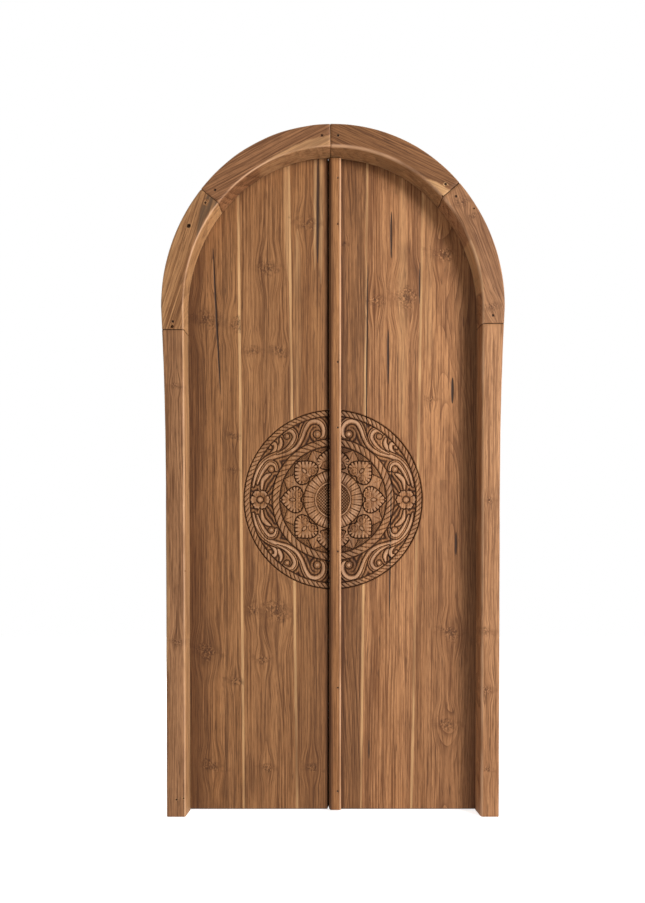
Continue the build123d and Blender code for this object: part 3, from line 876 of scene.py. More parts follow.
def plank(leaf, place, left_line, right_line, seed, hinge_side=0, carved_here=True, bevels=(0, 0)):
    """One plank between two seam lines, each given by its x at the floor and at the crown's height."""
    mean_left, mean_right = np.mean(left_line), np.mean(right_line)
    columns = plank_columns(mean_left, mean_right, carved_here, hinge_side)
    chosen = np.searchsorted(columns, np.linspace(0, 1, back_count)[1:-1])
    back_columns = columns[np.unique(np.concatenate([[0], chosen, [len(columns) - 1]]))]
    x, z = plank_surface(left_line, right_line, columns, bevels)
    depth, recess, inside, rubbed_highlight = carved(x, z) if carved_here else np.zeros((4, *x.shape))
    from_edge = np.minimum(columns, 1 - columns) * (mean_right - mean_left)
    line = np.stack([z[:, 0], z[:, 0] * 0, z[:, 0] * 0], axis=1)
    opened = seam_gap + seam_opening * ripple(line, 5, seed) ** 2
    depth = depth + np.clip(1 - from_edge / seam_ease, 0, 1)[None, :] ** 2 * opened[:, None]
    depth[0] += 1.5 * mm
    # painted shade along the foot row and just under the arched top
    recess[0] = 1
    below_arch = leaf_top(x) - z
    recess = np.maximum(recess, 0.5 * np.clip(1 - below_arch / arch_shade_reach, 0, 1) ** 1.4)
    points = np.stack([x, leaf_front + depth, z], axis=2).reshape(-1, 3)
    points[:, 1] += ripple(points[:, [0, 2, 1]] * [1, 0.35, 1], 11, seed) * sway_depth
    back_x, back_z = plank_surface(left_line, right_line, back_columns, (0, 0))
    back = np.stack([back_x, np.full(back_x.shape, leaf_back), back_z], axis=2).reshape(-1, 3)
    marks = {"recess": recess, "carved": inside, "arris": rubbed_highlight}
    marks = {mark: np.concatenate([values.ravel(), np.zeros(len(back))]) for mark, values in marks.items()}
    points, faces = np.concatenate([points, back]), plank_faces(len(x), columns, back_columns)
    name, node = f"{leaf}_{place}_board", f"{leaf}_{place}_plank"
    return add_piece(name, points, faces, f"{leaf}_leaf", [node], marks, 70)


# %% [markdown]
# The two leaves meet beside the middle. Their meeting edges are bevelled towards the front, because the
# front corner of a leaf that swings back first moves sideways. At the back they all but touch, so that no
# light shows through.

# %% Build the planks
meeting_offset = 16 * mm
meeting_gap = 0.5 * mm
meeting_slit = 0.003 * mm
left_bevel, right_bevel = 3.0 * mm, 2.5 * mm
left_edge = (-leaf_half, -leaf_half)
left_outer_seam, left_inner_seam = (-0.319, -0.337), (-0.134, -0.165)
left_meeting = (-meeting_offset - meeting_gap / 2,) * 2
right_meeting = (-meeting_offset - meeting_gap / 2 + meeting_slit,) * 2
right_inner_seam, right_outer_seam = (0.099, 0.122), (0.281, 0.324)
right_edge = (leaf_half, leaf_half)
boards = {
    "left_outer": plank("left", "outer", left_edge, left_outer_seam, 21, hinge_side=-1, carved_here=False),
    "left_middle": plank("left", "middle", left_outer_seam, left_inner_seam, 22),
    "left_inner": plank("left", "inner", left_inner_seam, left_meeting, 23, bevels=(0, left_bevel)),
    "right_inner": plank("right", "inner", right_meeting, right_inner_seam, 24, bevels=(right_bevel, 0)),
    "right_middle": plank("right", "middle", right_inner_seam, right_outer_seam, 25),
    "right_outer": plank("right", "outer", right_outer_seam, right_edge, 26, hinge_side=1),
}
print("planks:", {name: len(board.data.polygons) for name, board in boards.items()})

# %% [markdown]
# ## The cover strip
# A rounded strip is nailed to the right leaf beside the meeting line. It is one section with two well
# rounded front corners, swept up the leaf and pulled in at its foot.

# %% Sweep the cover strip
strip_low, strip_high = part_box("cover_strip")
strip_corners = [
    (strip_low.x, strip_low.y, 10 * mm), (strip_high.x, strip_low.y, 8 * mm),
    (strip_high.x, strip_high.y, 0.4 * mm), (strip_low.x, strip_high.y, 0.4 * mm),
]
strip_section, strip_marks = rounded_section(strip_corners, 5 * mm)
strip_round = 3 * mm
strip_step = 20 * mm
strip_wear = 0.8 * mm


def strip_rings():
    """The section at each height, drawn in towards the leaf over the rounded foot."""
    foot = strip_low.z + strip_round * (1 - np.cos(np.linspace(0, pi / 2, 6)))
    heights = [*foot, *np.arange(2 * strip_step, strip_high.z, strip_step), strip_high.z]
    rings = []
    for height in heights:
        rise = min((height - strip_low.z) / strip_round, 1)
        flat = 1 - sqrt(max(1 - (1 - rise) ** 2, 0))
        ring = np.column_stack([strip_section, np.full(len(strip_section), height)])
        ring[:, 1] += (strip_high.y - ring[:, 1]) * flat * 0.8
        front = (strip_high.y - ring[:, 1]) / (strip_high.y - strip_low.y)
        ring[:, 1] += front * ripple(ring, 7, 31) * strip_wear
        rings.append(ring)
    return rings


rings = strip_rings()
points, faces = skin(rings)
# painted highlight down the strip's right edge only, the side that faces the key lamp
right_side = points[:, 0] > (strip_low.x + strip_high.x) / 2
marks = {"arris": np.tile(strip_marks, len(rings)) * right_side}
strip = add_piece("cover_moulding", points, faces, "right_leaf", ["cover_strip"], marks)
brad_hole = 4.2 * mm
brad_holes = []
for bar in separate_bars("cover_strip_brads", 25 * mm):
    middle = sum((place for place, _ in bar), Vector((0, 0))) / len(bar)
    front = min(depth for _, depth in bar)
    outline = round_outline(middle.x, middle.y, brad_hole)
    brad_holes.append(prism(outline, strip_low.y - cutter_reach, front + 1.2 * mm))
cut([strip], cutter_object("brad_holes", brad_holes))
print("cover strip:", len(strip.data.polygons), "faces,", len(brad_holes), "brad holes")

# %% [markdown]
# ## The back: ledges, nails and screws
# Three ledges hold each leaf's planks together. They are hewn boards, so each one is a soft section swept
# along X and drawn in at its ends. Smiths' nails with low faceted heads go through them, and flush screws
# hold the hinge plates. Every head is a small turned shape, so one helper makes them all.

# %% Ledges and their nails
ledge_wear = 0.9 * mm
ledge_chamfer = 6 * mm
ledge_round = 12 * mm
ledge_step = 12 * mm
hewn_depth = 1.2 * mm
nails_a_ledge = 6
nail_inset = 40 * mm
nail_stagger = 20 * mm
nail_radius = 6.5 * mm
nail_rise = 0.8 * mm


def ledge_board(node, body, seed):
    """A hewn board in the place of a ledge, with the height of its face."""
    low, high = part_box(node)
    face = high.y - ledge_wear
    corners = [
        (low.y, low.z, 0.5 * mm), (face, low.z, ledge_round),
        (face, high.z, ledge_round), (low.y, high.z, 0.5 * mm),
    ]
    section, marks = rounded_section(corners, 8 * mm)
    ends = [low.x, low.x + ledge_chamfer, high.x - ledge_chamfer, high.x]
    places = [ends[0], *spaced(ends[1], ends[2], ledge_step), ends[3]]
    rings = []
    for index, place in enumerate(places):
        ring = np.stack([np.full(len(section), place), section[:, 0], section[:, 1]], axis=1)
        outward = (ring[:, 1] - low.y) / (face - low.y)
        if index in (0, len(places) - 1):
            ring[:, 1] -= outward * ledge_chamfer
        ring[:, 1] -= outward * ripple(ring, 14, seed) * hewn_depth
        rings.append(ring)
    points, faces = skin(rings)
    edges = {"arris": np.tile(marks, len(rings)) * 0.6}
    return add_piece(node + "_board", points, faces, body, [node], edges), face


def turned_heads(profile, sides, spots):
    """Points and faces of turned heads; profile is (radius, rise), a spot is place, axis, side and turn."""
    points, faces = [], []
    for place, axis, across, turn in spots:
        start = len(points)
        up = axis.cross(across)
        for radius, rise in profile:
            for side in range(sides):
                angle = turn + 2 * pi * side / sides
                points.append(place + axis * rise + (across * cos(angle) + up * sin(angle)) * radius)
        faces += grid_faces(len(profile), sides, start, closed=True)
        faces.append(list(range(start, start + sides))[::-1])
        faces.append(list(range(start + (len(profile) - 1) * sides, start + len(profile) * sides)))
    return points, faces


ledges = {}
nail_heads = {}
nail_profile = [
    (nail_radius * 0.8, -3 * mm), (nail_radius, -0.6 * mm),
    (nail_radius * 0.55, nail_rise * 0.6), (1 * mm, nail_rise),
]
for leaf in ("left", "right"):
    spots = []
    for seed, row in enumerate(("lower", "middle", "upper")):
        node = f"{leaf}_{row}_ledge"
        ledges[node], face = ledge_board(node, f"{leaf}_leaf", seed + 51)
        low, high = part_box(node)
        middle = (low.z + high.z) / 2
        for index, x in enumerate(np.linspace(low.x + nail_inset, high.x - nail_inset, nails_a_ledge)):
            place = Vector((x, face, middle + nail_stagger * (-1) ** index))
            spots.append((place, Vector((0, 1, 0)), Vector((1, 0, 0)), 0.7 * index))
    points, faces = turned_heads(nail_profile, 8, spots)
    nail_heads[leaf] = add_piece(f"{leaf}_ledge_nails", points, faces, f"{leaf}_leaf", sharp=12)
print("ledges:", len(ledges), "nails:", nails_a_ledge * len(ledges))

# %% [markdown]
# Three flush screws hold each hinge plate. The plates lie in the narrow gap between leaf and jamb, so the
# heads hardly rise above them.

# %% Screws of the hinge plates
screw_radius = 4 * mm
screw_rise = 0.12 * mm
screw_step = 34 * mm
outer_depth, middle_depth = 9 * mm, 19 * mm
hinge_half = 50 * mm
plate_face = 0.2 * mm
screw_profile = [(screw_radius, -1 * mm), (screw_radius, screw_rise * 0.5), (screw_radius * 0.9, screw_rise)]
screws = {}
for leaf, outward in (("left", -1), ("right", 1)):
    low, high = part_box(f"{leaf}_hinge_leaf_plates")
    axis_x = (low.x + high.x) / 2
    for part, body, facing in (("leaf", f"{leaf}_leaf", outward), ("frame", "frame", -outward)):
        spots = []
        for height in (low.z + hinge_half, high.z - hinge_half):
            for step, depth in ((-screw_step, outer_depth), (0, middle_depth), (screw_step, outer_depth)):
                place = Vector((axis_x - facing * plate_face, frame_back - depth, height + step))
                spots.append((place, Vector((facing, 0, 0)), Vector((0, 1, 0)), 0.0))
        points, faces = turned_heads(screw_profile, 16, spots)
        name = f"{leaf}_hinge_{part}_screws"
        screws[name] = add_piece(name, points, faces, body, sharp=30)
print("screws:", {name: len(piece.data.polygons) for name, piece in screws.items()})

# %% [markdown]
# ## Shader helpers
# Node trees written out link by link are hard to follow. These helpers place a node, fill its inputs with
# numbers or with other nodes' outputs, and start a group with named sockets or a material.

# %% Helpers for shader nodes
class Wiring:
    """A node tree with short ways to add and join its nodes; a value is a number or another node's output."""

    def __init__(self, tree):
        self.tree = tree

    def node(self, kind):
        """A new node."""
        return self.tree.nodes.new(kind)

    def plug(self, socket, value):
        """Link an output to a socket, or write a plain value into it."""
        if isinstance(value, bpy.types.NodeSocket):
            self.tree.links.new(value, socket)
        else:
            socket.default_value = value

    def maths(self, operation, *values, clamp=False):
        """A Math node's output."""
        node = self.node("ShaderNodeMath")
        node.operation = operation
        node.use_clamp = clamp
        for socket, value in zip(node.inputs, values):
            self.plug(socket, value)
        return node.outputs[0]

    def plus(self, first, second, clamp=False):
        return self.maths("ADD", first, second, clamp=clamp)

    def minus(self, first, second, clamp=False):
        return self.maths("SUBTRACT", first, second, clamp=clamp)

    def times(self, first, second):
        return self.maths("MULTIPLY", first, second)

    def over(self, first, second):
        return self.maths("DIVIDE", first, second)

    def larger(self, first, second):
        return self.maths("MAXIMUM", first, second)

    def sum_of_squares(self, first, second):
        return self.plus(self.maths("POWER", first, 2.0), self.maths("POWER", second, 2.0))

    def remap(self, value, low, high, to_low=0.0, to_high=1.0):
        """Stretch a value's range, smoothly and clamped."""
        node = self.node("ShaderNodeMapRange")
        node.interpolation_type = "SMOOTHSTEP"
        names = ("Value", "From Min", "From Max", "To Min", "To Max")
        for name, number in zip(names, (value, low, high, to_low, to_high)):
            self.plug(node.inputs[name], number)
        return node.outputs["Result"]

    def noise(self, vector, scales, detail=2.0, roughness=0.5):
        """Noise that is drawn out along the axes with a small scale."""
        stretch = self.node("ShaderNodeVectorMath")
        stretch.operation = "MULTIPLY"
        self.plug(stretch.inputs[0], vector)
        stretch.inputs[1].default_value = scales
        texture = self.node("ShaderNodeTexNoise")
        settings = {"Vector": stretch.outputs[0], "Scale": 1.0, "Detail": detail, "Roughness": roughness}
        for name, value in settings.items():
            self.plug(texture.inputs[name], value)
        return texture.outputs[0]

    def mix(self, factor, first, second):
        """A blend of two colours."""
        node = self.node("ShaderNodeMix")
        node.data_type = "RGBA"
        for index, value in ((0, factor), (6, first), (7, second)):
            self.plug(node.inputs[index], value)
        return node.outputs[2]

    def split(self, vector):
        """The three numbers of a vector."""
        node = self.node("ShaderNodeSeparateXYZ")
        self.plug(node.inputs[0], vector)
        return node.outputs

    def join(self, *values):
        """A vector from up to three numbers."""
        node = self.node("ShaderNodeCombineXYZ")
        for socket, value in zip(node.inputs, values):
            self.plug(socket, value)
        return node.outputs[0]

    def mark(self, name):
        """A value that was kept on the mesh's points."""
        node = self.node("ShaderNodeAttribute")
        node.attribute_name = name
        return node.outputs["Fac"]

    def place(self, group, values):
        """Put a group in the tree and fill its inputs by name."""
        node = self.node("ShaderNodeGroup")
        node.node_tree = group.tree
        for name, value in values.items():
            self.plug(node.inputs[name], value)
        return node.outputs

    def bump(self, shader, height, strength, distance):
        """Small relief on a shader's surface."""
        node = self.node("ShaderNodeBump")
        node.inputs["Strength"].default_value = strength
        node.inputs["Distance"].default_value = distance
        self.plug(node.inputs["Height"], height)
        self.plug(shader.inputs["Normal"], node.outputs[0])


# %% Groups, materials and colours
def new_group(name, inputs, outputs):
    """A shader node group; inputs are (name, kind, default) and outputs are (name, kind)."""
    tree = bpy.data.node_groups.new(name, "ShaderNodeTree")
    for label, kind, default in inputs:
        socket = tree.interface.new_socket(label, in_out="INPUT", socket_type=f"NodeSocket{kind}")
        if default is not None:
            socket.default_value = default
    for label, kind in outputs:
        tree.interface.new_socket(label, in_out="OUTPUT", socket_type=f"NodeSocket{kind}")
    group = Wiring(tree)
    return group, group.node("NodeGroupInput").outputs, group.node("NodeGroupOutput").inputs


def floats(*names):
    """Inputs of a group that are plain numbers."""
    return [(name, "Float", 0.0) for name in names]


def new_material(name):
    """A material with its wiring, its Principled shader and the place on the object."""
    material = bpy.data.materials.new(name)
    material.use_nodes = True
    tree = Wiring(material.node_tree)
    shader = material.node_tree.nodes["Principled BSDF"]
    return material, tree, shader, tree.node("ShaderNodeTexCoord").outputs["Object"]


def dress(piece, material):
    """Give a piece one material."""
    piece.data.materials.clear()
    piece.data.materials.append(material)


def tone(red, green, blue):
    """A colour given in 0 to 255, as the linear values that shaders use."""
    return tuple((part / 255) ** 2.2 for part in (red, green, blue)) + (1.0,)


print("ways to wire:", [name for name in vars(Wiring) if not name.startswith("_")])

# %% [markdown]
# ## Knots and streaks
# Where a twig grew, teak keeps no neat ring but a scatter of dark flecks in a smudge that runs across the
# board, with paler burl between them, and the grain sways aside. The knot group bends the wood's
# coordinates and gives those three masks. The streak group draws one lens along the grain: a thin dark one
# is a drying crack, a wide pale one sapwood.

# %% Knot group
knot_group, given, result = new_group(
    "Knot",
    [("Vector", "Vector", None), *floats("Side", "Height", "Size")],
    [("Vector", "Vector"), ("Fleck", "Float"), ("Smudge", "Float"), ("Burl", "Float")],
)
x, y, z = knot_group.split(given["Vector"])
frayed = knot_group.minus(knot_group.noise(given["Vector"], (55, 55, 55), 3.0), 0.5)
frayed = knot_group.times(frayed, 2.4)
beside = knot_group.minus(x, given["Side"])
above = knot_group.minus(z, given["Height"])
across = knot_group.over(beside, given["Size"])
along = knot_group.over(above, given["Size"])


def blot(wide, tall, fray):
    """A soft oval, 1 in the middle, its border frayed by the noise; wide and tall are in knot sizes."""
    u = knot_group.plus(knot_group.over(across, wide), knot_group.times(frayed, fray))
    v = knot_group.plus(knot_group.over(along, tall), knot_group.times(frayed, -fray))
    return knot_group.remap(knot_group.sum_of_squares(u, v), 1.0, 0.0)


specks = knot_group.noise(given["Vector"], (230, 230, 150), 3.0, 0.6)
burl_area = blot(2.9, 2.4, 0.9)
fleck = knot_group.times(knot_group.remap(specks, 0.52, 0.64), burl_area)
heart_speck = knot_group.times(blot(0.55, 0.70, 1.4), 0.8)
pulled = knot_group.times(beside, knot_group.times(blot(5.0, 9.0, 0.0), 0.55))
knot_group.plug(result["Vector"], knot_group.join(knot_group.minus(x, pulled), y, z))
knot_group.plug(result["Fleck"], knot_group.larger(fleck, heart_speck))
knot_group.plug(result["Smudge"], blot(5.4, 2.4, 1.0))
knot_group.plug(result["Burl"], knot_group.times(knot_group.remap(specks, 0.47, 0.38), burl_area))
print("knot group:", len(knot_group.tree.nodes), "nodes")

# %% Streak group
streak_group, given, result = new_group(
    "Streak",
    [("Vector", "Vector", None), *floats("Side", "Lean", "Low", "High", "Half Width", "Softness"),
     ("Wander", "Float", 4 * mm)],
    [("Mask", "Float")],
)
x, y, z = streak_group.split(given["Vector"])
middle = streak_group.times(streak_group.plus(given["Low"], given["High"]), 0.5)
half_run = streak_group.times(streak_group.minus(given["High"], given["Low"]), 0.5)
rise = streak_group.minus(z, middle)
run = streak_group.over(rise, half_run)
left_over = streak_group.minus(1.0, streak_group.maths("POWER", run, 2.0), clamp=True)
taper = streak_group.maths("SQRT", left_over)
wander = streak_group.minus(streak_group.noise(given["Vector"], (2, 2, 7), 3.0), 0.5)
centre = streak_group.plus(given["Side"], streak_group.times(given["Lean"], rise))
centre = streak_group.plus(centre, streak_group.times(wander, given["Wander"]))
away = streak_group.maths("ABSOLUTE", streak_group.minus(x, centre))
width_here = streak_group.larger(streak_group.times(given["Half Width"], taper), 0.01 * mm)
share = streak_group.over(away, width_here)
outer = streak_group.plus(1.0, given["Softness"])
inner = streak_group.minus(1.0, given["Softness"])
body = streak_group.remap(share, outer, inner)
streak_group.plug(result["Mask"], streak_group.times(body, streak_group.remap(taper, 0.0, 0.1)))
print("streak group:", len(streak_group.tree.nodes), "nodes")

# %% [markdown]
# A curved timber has patches that follow its own shape rather than the grain: pale wood with a painted
# highlight along the inner edge, a grey weathered stretch beside a joint. The patch group reads how far along
# and across the timber a place lies, which the sweep kept on its points, and frays the patch's border with
# noise.

# %% Patch group
patch_group, given, result = new_group(
    "Patch",
    [("Vector", "Vector", None), *floats("Along", "Across", "Start", "End", "Inner", "Outer", "Slope")],
    [("Mask", "Float")],
)
fray = patch_group.minus(patch_group.noise(given["Vector"], (30, 30, 12), 4.0), 0.5)
fray_along = patch_group.plus(given["Along"], patch_group.times(fray, 0.06))
fray_across = patch_group.plus(given["Across"], patch_group.times(fray, 0.22))
slanted = patch_group.minus(given["Outer"], patch_group.times(given["Slope"], given["Along"]))


def between(value, low, high, soft):
    """1 between two limits, falling off softly outside them."""
    up = patch_group.remap(value, patch_group.minus(low, soft), patch_group.plus(low, soft))
    down = patch_group.remap(value, patch_group.plus(high, soft), patch_group.minus(high, soft))
    return patch_group.times(up, down)


patch_along = between(fray_along, given["Start"], given["End"], 0.012)
patch_across = between(fray_across, given["Inner"], slanted, 0.05)
patch_group.plug(result["Mask"], patch_group.times(patch_along, patch_across))
print("patch group:", len(patch_group.tree.nodes), "nodes")

# %% [markdown]
# ## Teak
# Old oiled teak is warm brown with darker growth lines, dull pores and slow drifts of tone from one part of
# a board to another. A wave texture repeats too evenly, so the growth lines come from the distance to the
# tree's heart, bent by slow noise, as they do in a sawn log. One group draws this wood, and each timber
# gives it its own heart and tones.

# %% Teak group: where the growth lines run
teak_group, given, result = new_group(
    "Teak",
    [("Vector", "Vector", None), *floats("Seed", "Heart Side", "Heart Depth", "Heart Lean", "Ring Width"),
     ("Pale", "Color", None), ("Middle", "Color", None), ("Dark", "Color", None),
     *floats("Sapwood And Highlight", "Stain", "Crack", "Shade And Darkening", "Fleck", "Smudge", "Burl", "Patina And Shade", "Wear And Highlight")],
    [("Color", "Color"), ("Roughness", "Float"), ("Height", "Float")],
)
x, y, z = teak_group.split(given["Vector"])
moved = teak_group.node("ShaderNodeVectorMath")
seeded = [teak_group.times(given["Seed"], factor) for factor in (1.37, 0.73, 2.11)]
teak_group.plug(moved.inputs[0], given["Vector"])
teak_group.plug(moved.inputs[1], teak_group.join(*seeded))
wood = moved.outputs[0]

slow_bend = teak_group.minus(teak_group.noise(wood, (2.4, 2.4, 1.1), 2.0), 0.5)
quick_bend = teak_group.minus(teak_group.noise(wood, (16, 16, 2.0), 3.0), 0.5)
side = teak_group.minus(x, given["Heart Side"])
side = teak_group.plus(side, teak_group.times(slow_bend, 0.09))
side = teak_group.plus(side, teak_group.times(quick_bend, 0.010))
deep = teak_group.plus(given["Heart Depth"], teak_group.times(given["Heart Lean"], z))
deep = teak_group.plus(deep, teak_group.times(slow_bend, 0.14))
deep = teak_group.minus(deep, y)
from_heart = teak_group.maths("SQRT", teak_group.sum_of_squares(side, deep))
rings = teak_group.over(from_heart, given["Ring Width"])
ring_line = teak_group.join(rings, given["Seed"])
uneven = teak_group.noise(ring_line, (0.55, 3.1, 1.0), 2.0)
rings = teak_group.plus(rings, teak_group.times(uneven, 3.0))
ring_dark = teak_group.maths("POWER", teak_group.minus(1.0, teak_group.maths("FRACT", rings)), 3.0)
ring_strength = teak_group.noise(wood, (30, 30, 3.5), 3.0)
ring_dark = teak_group.times(ring_dark, teak_group.remap(ring_strength, 0.34, 0.62, 0.25, 1.0))
broad_rings = teak_group.noise(ring_line, (0.16, 5.3, 1.0), 2.0)
print("growth lines:", len(teak_group.tree.nodes), "nodes")

# %% [markdown]
# The colour is built up in thin layers, the way the wood itself is: the board's middle tone, growth lines,
# fibres and pores, then what time added, such as stains. Over these lie painted shade beside the frame and
# the strip, painted shade with dirt in the hollows, under the arch and along the foot, a darkening towards
# the foot, and painted highlights with hand-rubbed wear on edges and high places. Each layer has a mask and a
# colour.

# %% Teak group: tones, wear and relief
drift = teak_group.noise(wood, (10, 10, 3.2), 4.0, 0.6)
bands = teak_group.noise(wood, (30, 30, 1.2), 3.0)
streaks = teak_group.noise(wood, (190, 190, 3.5), 4.0, 0.6)
dashes = teak_group.noise(wood, (240, 240, 13), 2.0)
fibre = teak_group.noise(wood, (420, 420, 16), 2.0, 0.6)
pores = teak_group.remap(teak_group.noise(wood, (900, 900, 30), 1.0), 0.60, 0.72)
sap_grain = teak_group.remap(streaks, 0.3, 0.6, 1.0, 0.62)
stain_grain = teak_group.remap(streaks, 0.3, 0.6, 0.55, 1.0)
wear_highlight_grain = teak_group.remap(teak_group.noise(wood, (9, 9, 5), 3.0), 0.3, 0.6, 0.15, 0.75)
layers = [
    (teak_group.remap(bands, 0.34, 0.66, 0.10, 0.75), given["Pale"]),
    (teak_group.remap(broad_rings, 0.50, 0.66, 0.0, 0.42), given["Dark"]),
    (teak_group.remap(drift, 0.52, 0.74, 0.0, 0.50), given["Dark"]),
    (teak_group.remap(drift, 0.46, 0.28, 0.0, 0.50), given["Pale"]),
    (teak_group.remap(streaks, 0.51, 0.65, 0.0, 0.74), given["Dark"]),
    (teak_group.remap(streaks, 0.47, 0.34, 0.0, 0.95), given["Pale"]),
    (teak_group.times(ring_dark, 0.92), given["Dark"]),
    (teak_group.remap(dashes, 0.62, 0.74, 0.0, 0.70), tone(70, 42, 24)),
    (teak_group.remap(fibre, 0.42, 0.75, 0.0, 0.55), given["Dark"]),
    (teak_group.times(pores, 0.40), tone(62, 36, 18)),
    # pale sapwood, and on the frame's reveals and one arris a painted highlight as well
    (teak_group.times(given["Sapwood And Highlight"], sap_grain), tone(222, 172, 120)),
    (teak_group.times(given["Smudge"], 0.42), given["Dark"]),
    (teak_group.times(given["Burl"], 0.70), given["Pale"]),
    (teak_group.times(given["Fleck"], 0.70), tone(58, 32, 16)),
    (teak_group.times(given["Stain"], stain_grain), tone(88, 68, 50)),
    # painted shade beside the jambs and along both sides of the strip; the broad low streaks only make boards
    # darker towards the foot
    (given["Shade And Darkening"], tone(66, 37, 18)),
    (given["Crack"], tone(36, 20, 10)),
    # painted shade in the carved hollows, mixed with dirt there, and painted shade along the foot and under
    # the arch
    (teak_group.times(given["Patina And Shade"], 0.90), tone(44, 22, 9)),
    # painted highlight on the carving's high places and the strip's right edge, with worn pale corners on the
    # frame and ledges
    (teak_group.times(given["Wear And Highlight"], wear_highlight_grain), tone(216, 168, 130)),
]
colour = given["Middle"]
for factor, layer in layers:
    colour = teak_group.mix(factor, colour, layer)
dull = teak_group.plus(0.56, teak_group.times(fibre, 0.16))
dull = teak_group.plus(dull, teak_group.times(given["Patina And Shade"], 0.2))
relief = teak_group.times(fibre, 0.5)
for mask, depth in ((ring_dark, 0.3), (pores, 0.5), (given["Crack"], 4.0)):
    relief = teak_group.minus(relief, teak_group.times(mask, depth))
for name, value in (("Color", colour), ("Roughness", dull), ("Height", relief)):
    teak_group.plug(result[name], value)
print("teak group:", len(layers), "layers,", len(teak_group.tree.nodes), "nodes")

# %% [markdown]
# The material of one board places these groups with its own values. Knots bend the wood one after another,
# streaks and patches become masks, and the teak group turns all of it into colour, roughness and fine
# relief. The Principled shader stays in the material itself.

# %% Masks for streaks and patches
def joined_mask(tree, group, shared, names, rows):
    """One mask for several streaks or patches; a row holds the group's numbers and last a strength."""
    mask = 0.0
    for *numbers, strength in rows:
        found = tree.place(group, {**shared, **dict(zip(names, numbers))})["Mask"]
        mask = tree.larger(tree.times(found, strength), mask)
    return mask


def streak_mask(tree, place, rows):
    """Where the given streaks lie."""
    names = ("Side", "Lean", "Low", "High", "Half Width", "Softness")
    return joined_mask(tree, streak_group, {"Vector": place}, names, rows)


def patch_mask(tree, place, rows):
    """Where the given patches lie; it needs a timber with its marks."""
    if not rows:
        return 0.0
    shared = {"Vector": place, "Along": tree.mark("along"), "Across": tree.mark("across")}
    return joined_mask(tree, patch_group, shared, ("Start", "End", "Inner", "Outer", "Slope"), rows)


# %% Teak material
ring_width = 10 * mm
upright = (0, 0, 0)


def teak(name, tones, seed, heart, turn=upright, knots=(), sapwood=(), cracks=(), shade_and_darkening=(), pale_and_lit=(), grey=()):
    """A teak finish: tones are pale, middle and dark, heart is the log's heart by side, depth and lean."""
    material, tree, shader, place = new_material(name)
    shader.inputs["Specular IOR Level"].default_value = 0.3
    turned = tree.node("ShaderNodeMapping")
    turned.inputs["Rotation"].default_value = turn
    tree.plug(turned.inputs["Vector"], place)
    vector = turned.outputs[0]
    values = dict(zip(("Pale", "Middle", "Dark"), tones))
    values.update(zip(("Heart Side", "Heart Depth", "Heart Lean"), heart))
    values.update({"Seed": seed, "Ring Width": ring_width, "Fleck": 0.0, "Smudge": 0.0, "Burl": 0.0})
    for knot_side, knot_height, size in knots:
        spot = Matrix.Rotation(turn[1], 3, "Y") @ Vector((knot_side, 0, knot_height))
        knot = tree.place(knot_group, {"Vector": vector, "Side": spot.x, "Height": spot.z, "Size": size})
        vector = knot["Vector"]
        for mask in ("Fleck", "Smudge", "Burl"):
            values[mask] = tree.larger(knot[mask], values[mask])
    uncarved = tree.minus(1.0, tree.times(tree.mark("carved"), 0.85))
    patchy = tree.remap(tree.noise(place, (5, 5, 2.3), 2.0), 0.34, 0.56, 0.35, 1.0)
    bands = tree.times(tree.times(streak_mask(tree, place, sapwood), patchy), uncarved)
    values["Sapwood And Highlight"] = tree.larger(bands, patch_mask(tree, place, pale_and_lit))
    values["Stain"] = patch_mask(tree, place, grey)
    values["Crack"] = tree.larger(streak_mask(tree, place, cracks), tree.mark("joint"))
    values["Shade And Darkening"] = streak_mask(tree, place, shade_and_darkening)
    values.update({"Vector": vector, "Patina And Shade": tree.mark("recess"), "Wear And Highlight": tree.mark("arris")})
    finish = tree.place(teak_group, values)
    tree.plug(shader.inputs["Base Color"], finish["Color"])
    tree.plug(shader.inputs["Roughness"], finish["Roughness"])
    tree.bump(shader, finish["Height"], 0.5, 0.6 * mm)
    return material


# %% [markdown]
# ## The finish of each timber
# No two boards of an old door match, so each has its own tones, its own heart and its own knots. A knot is
# given by its side, height and size.

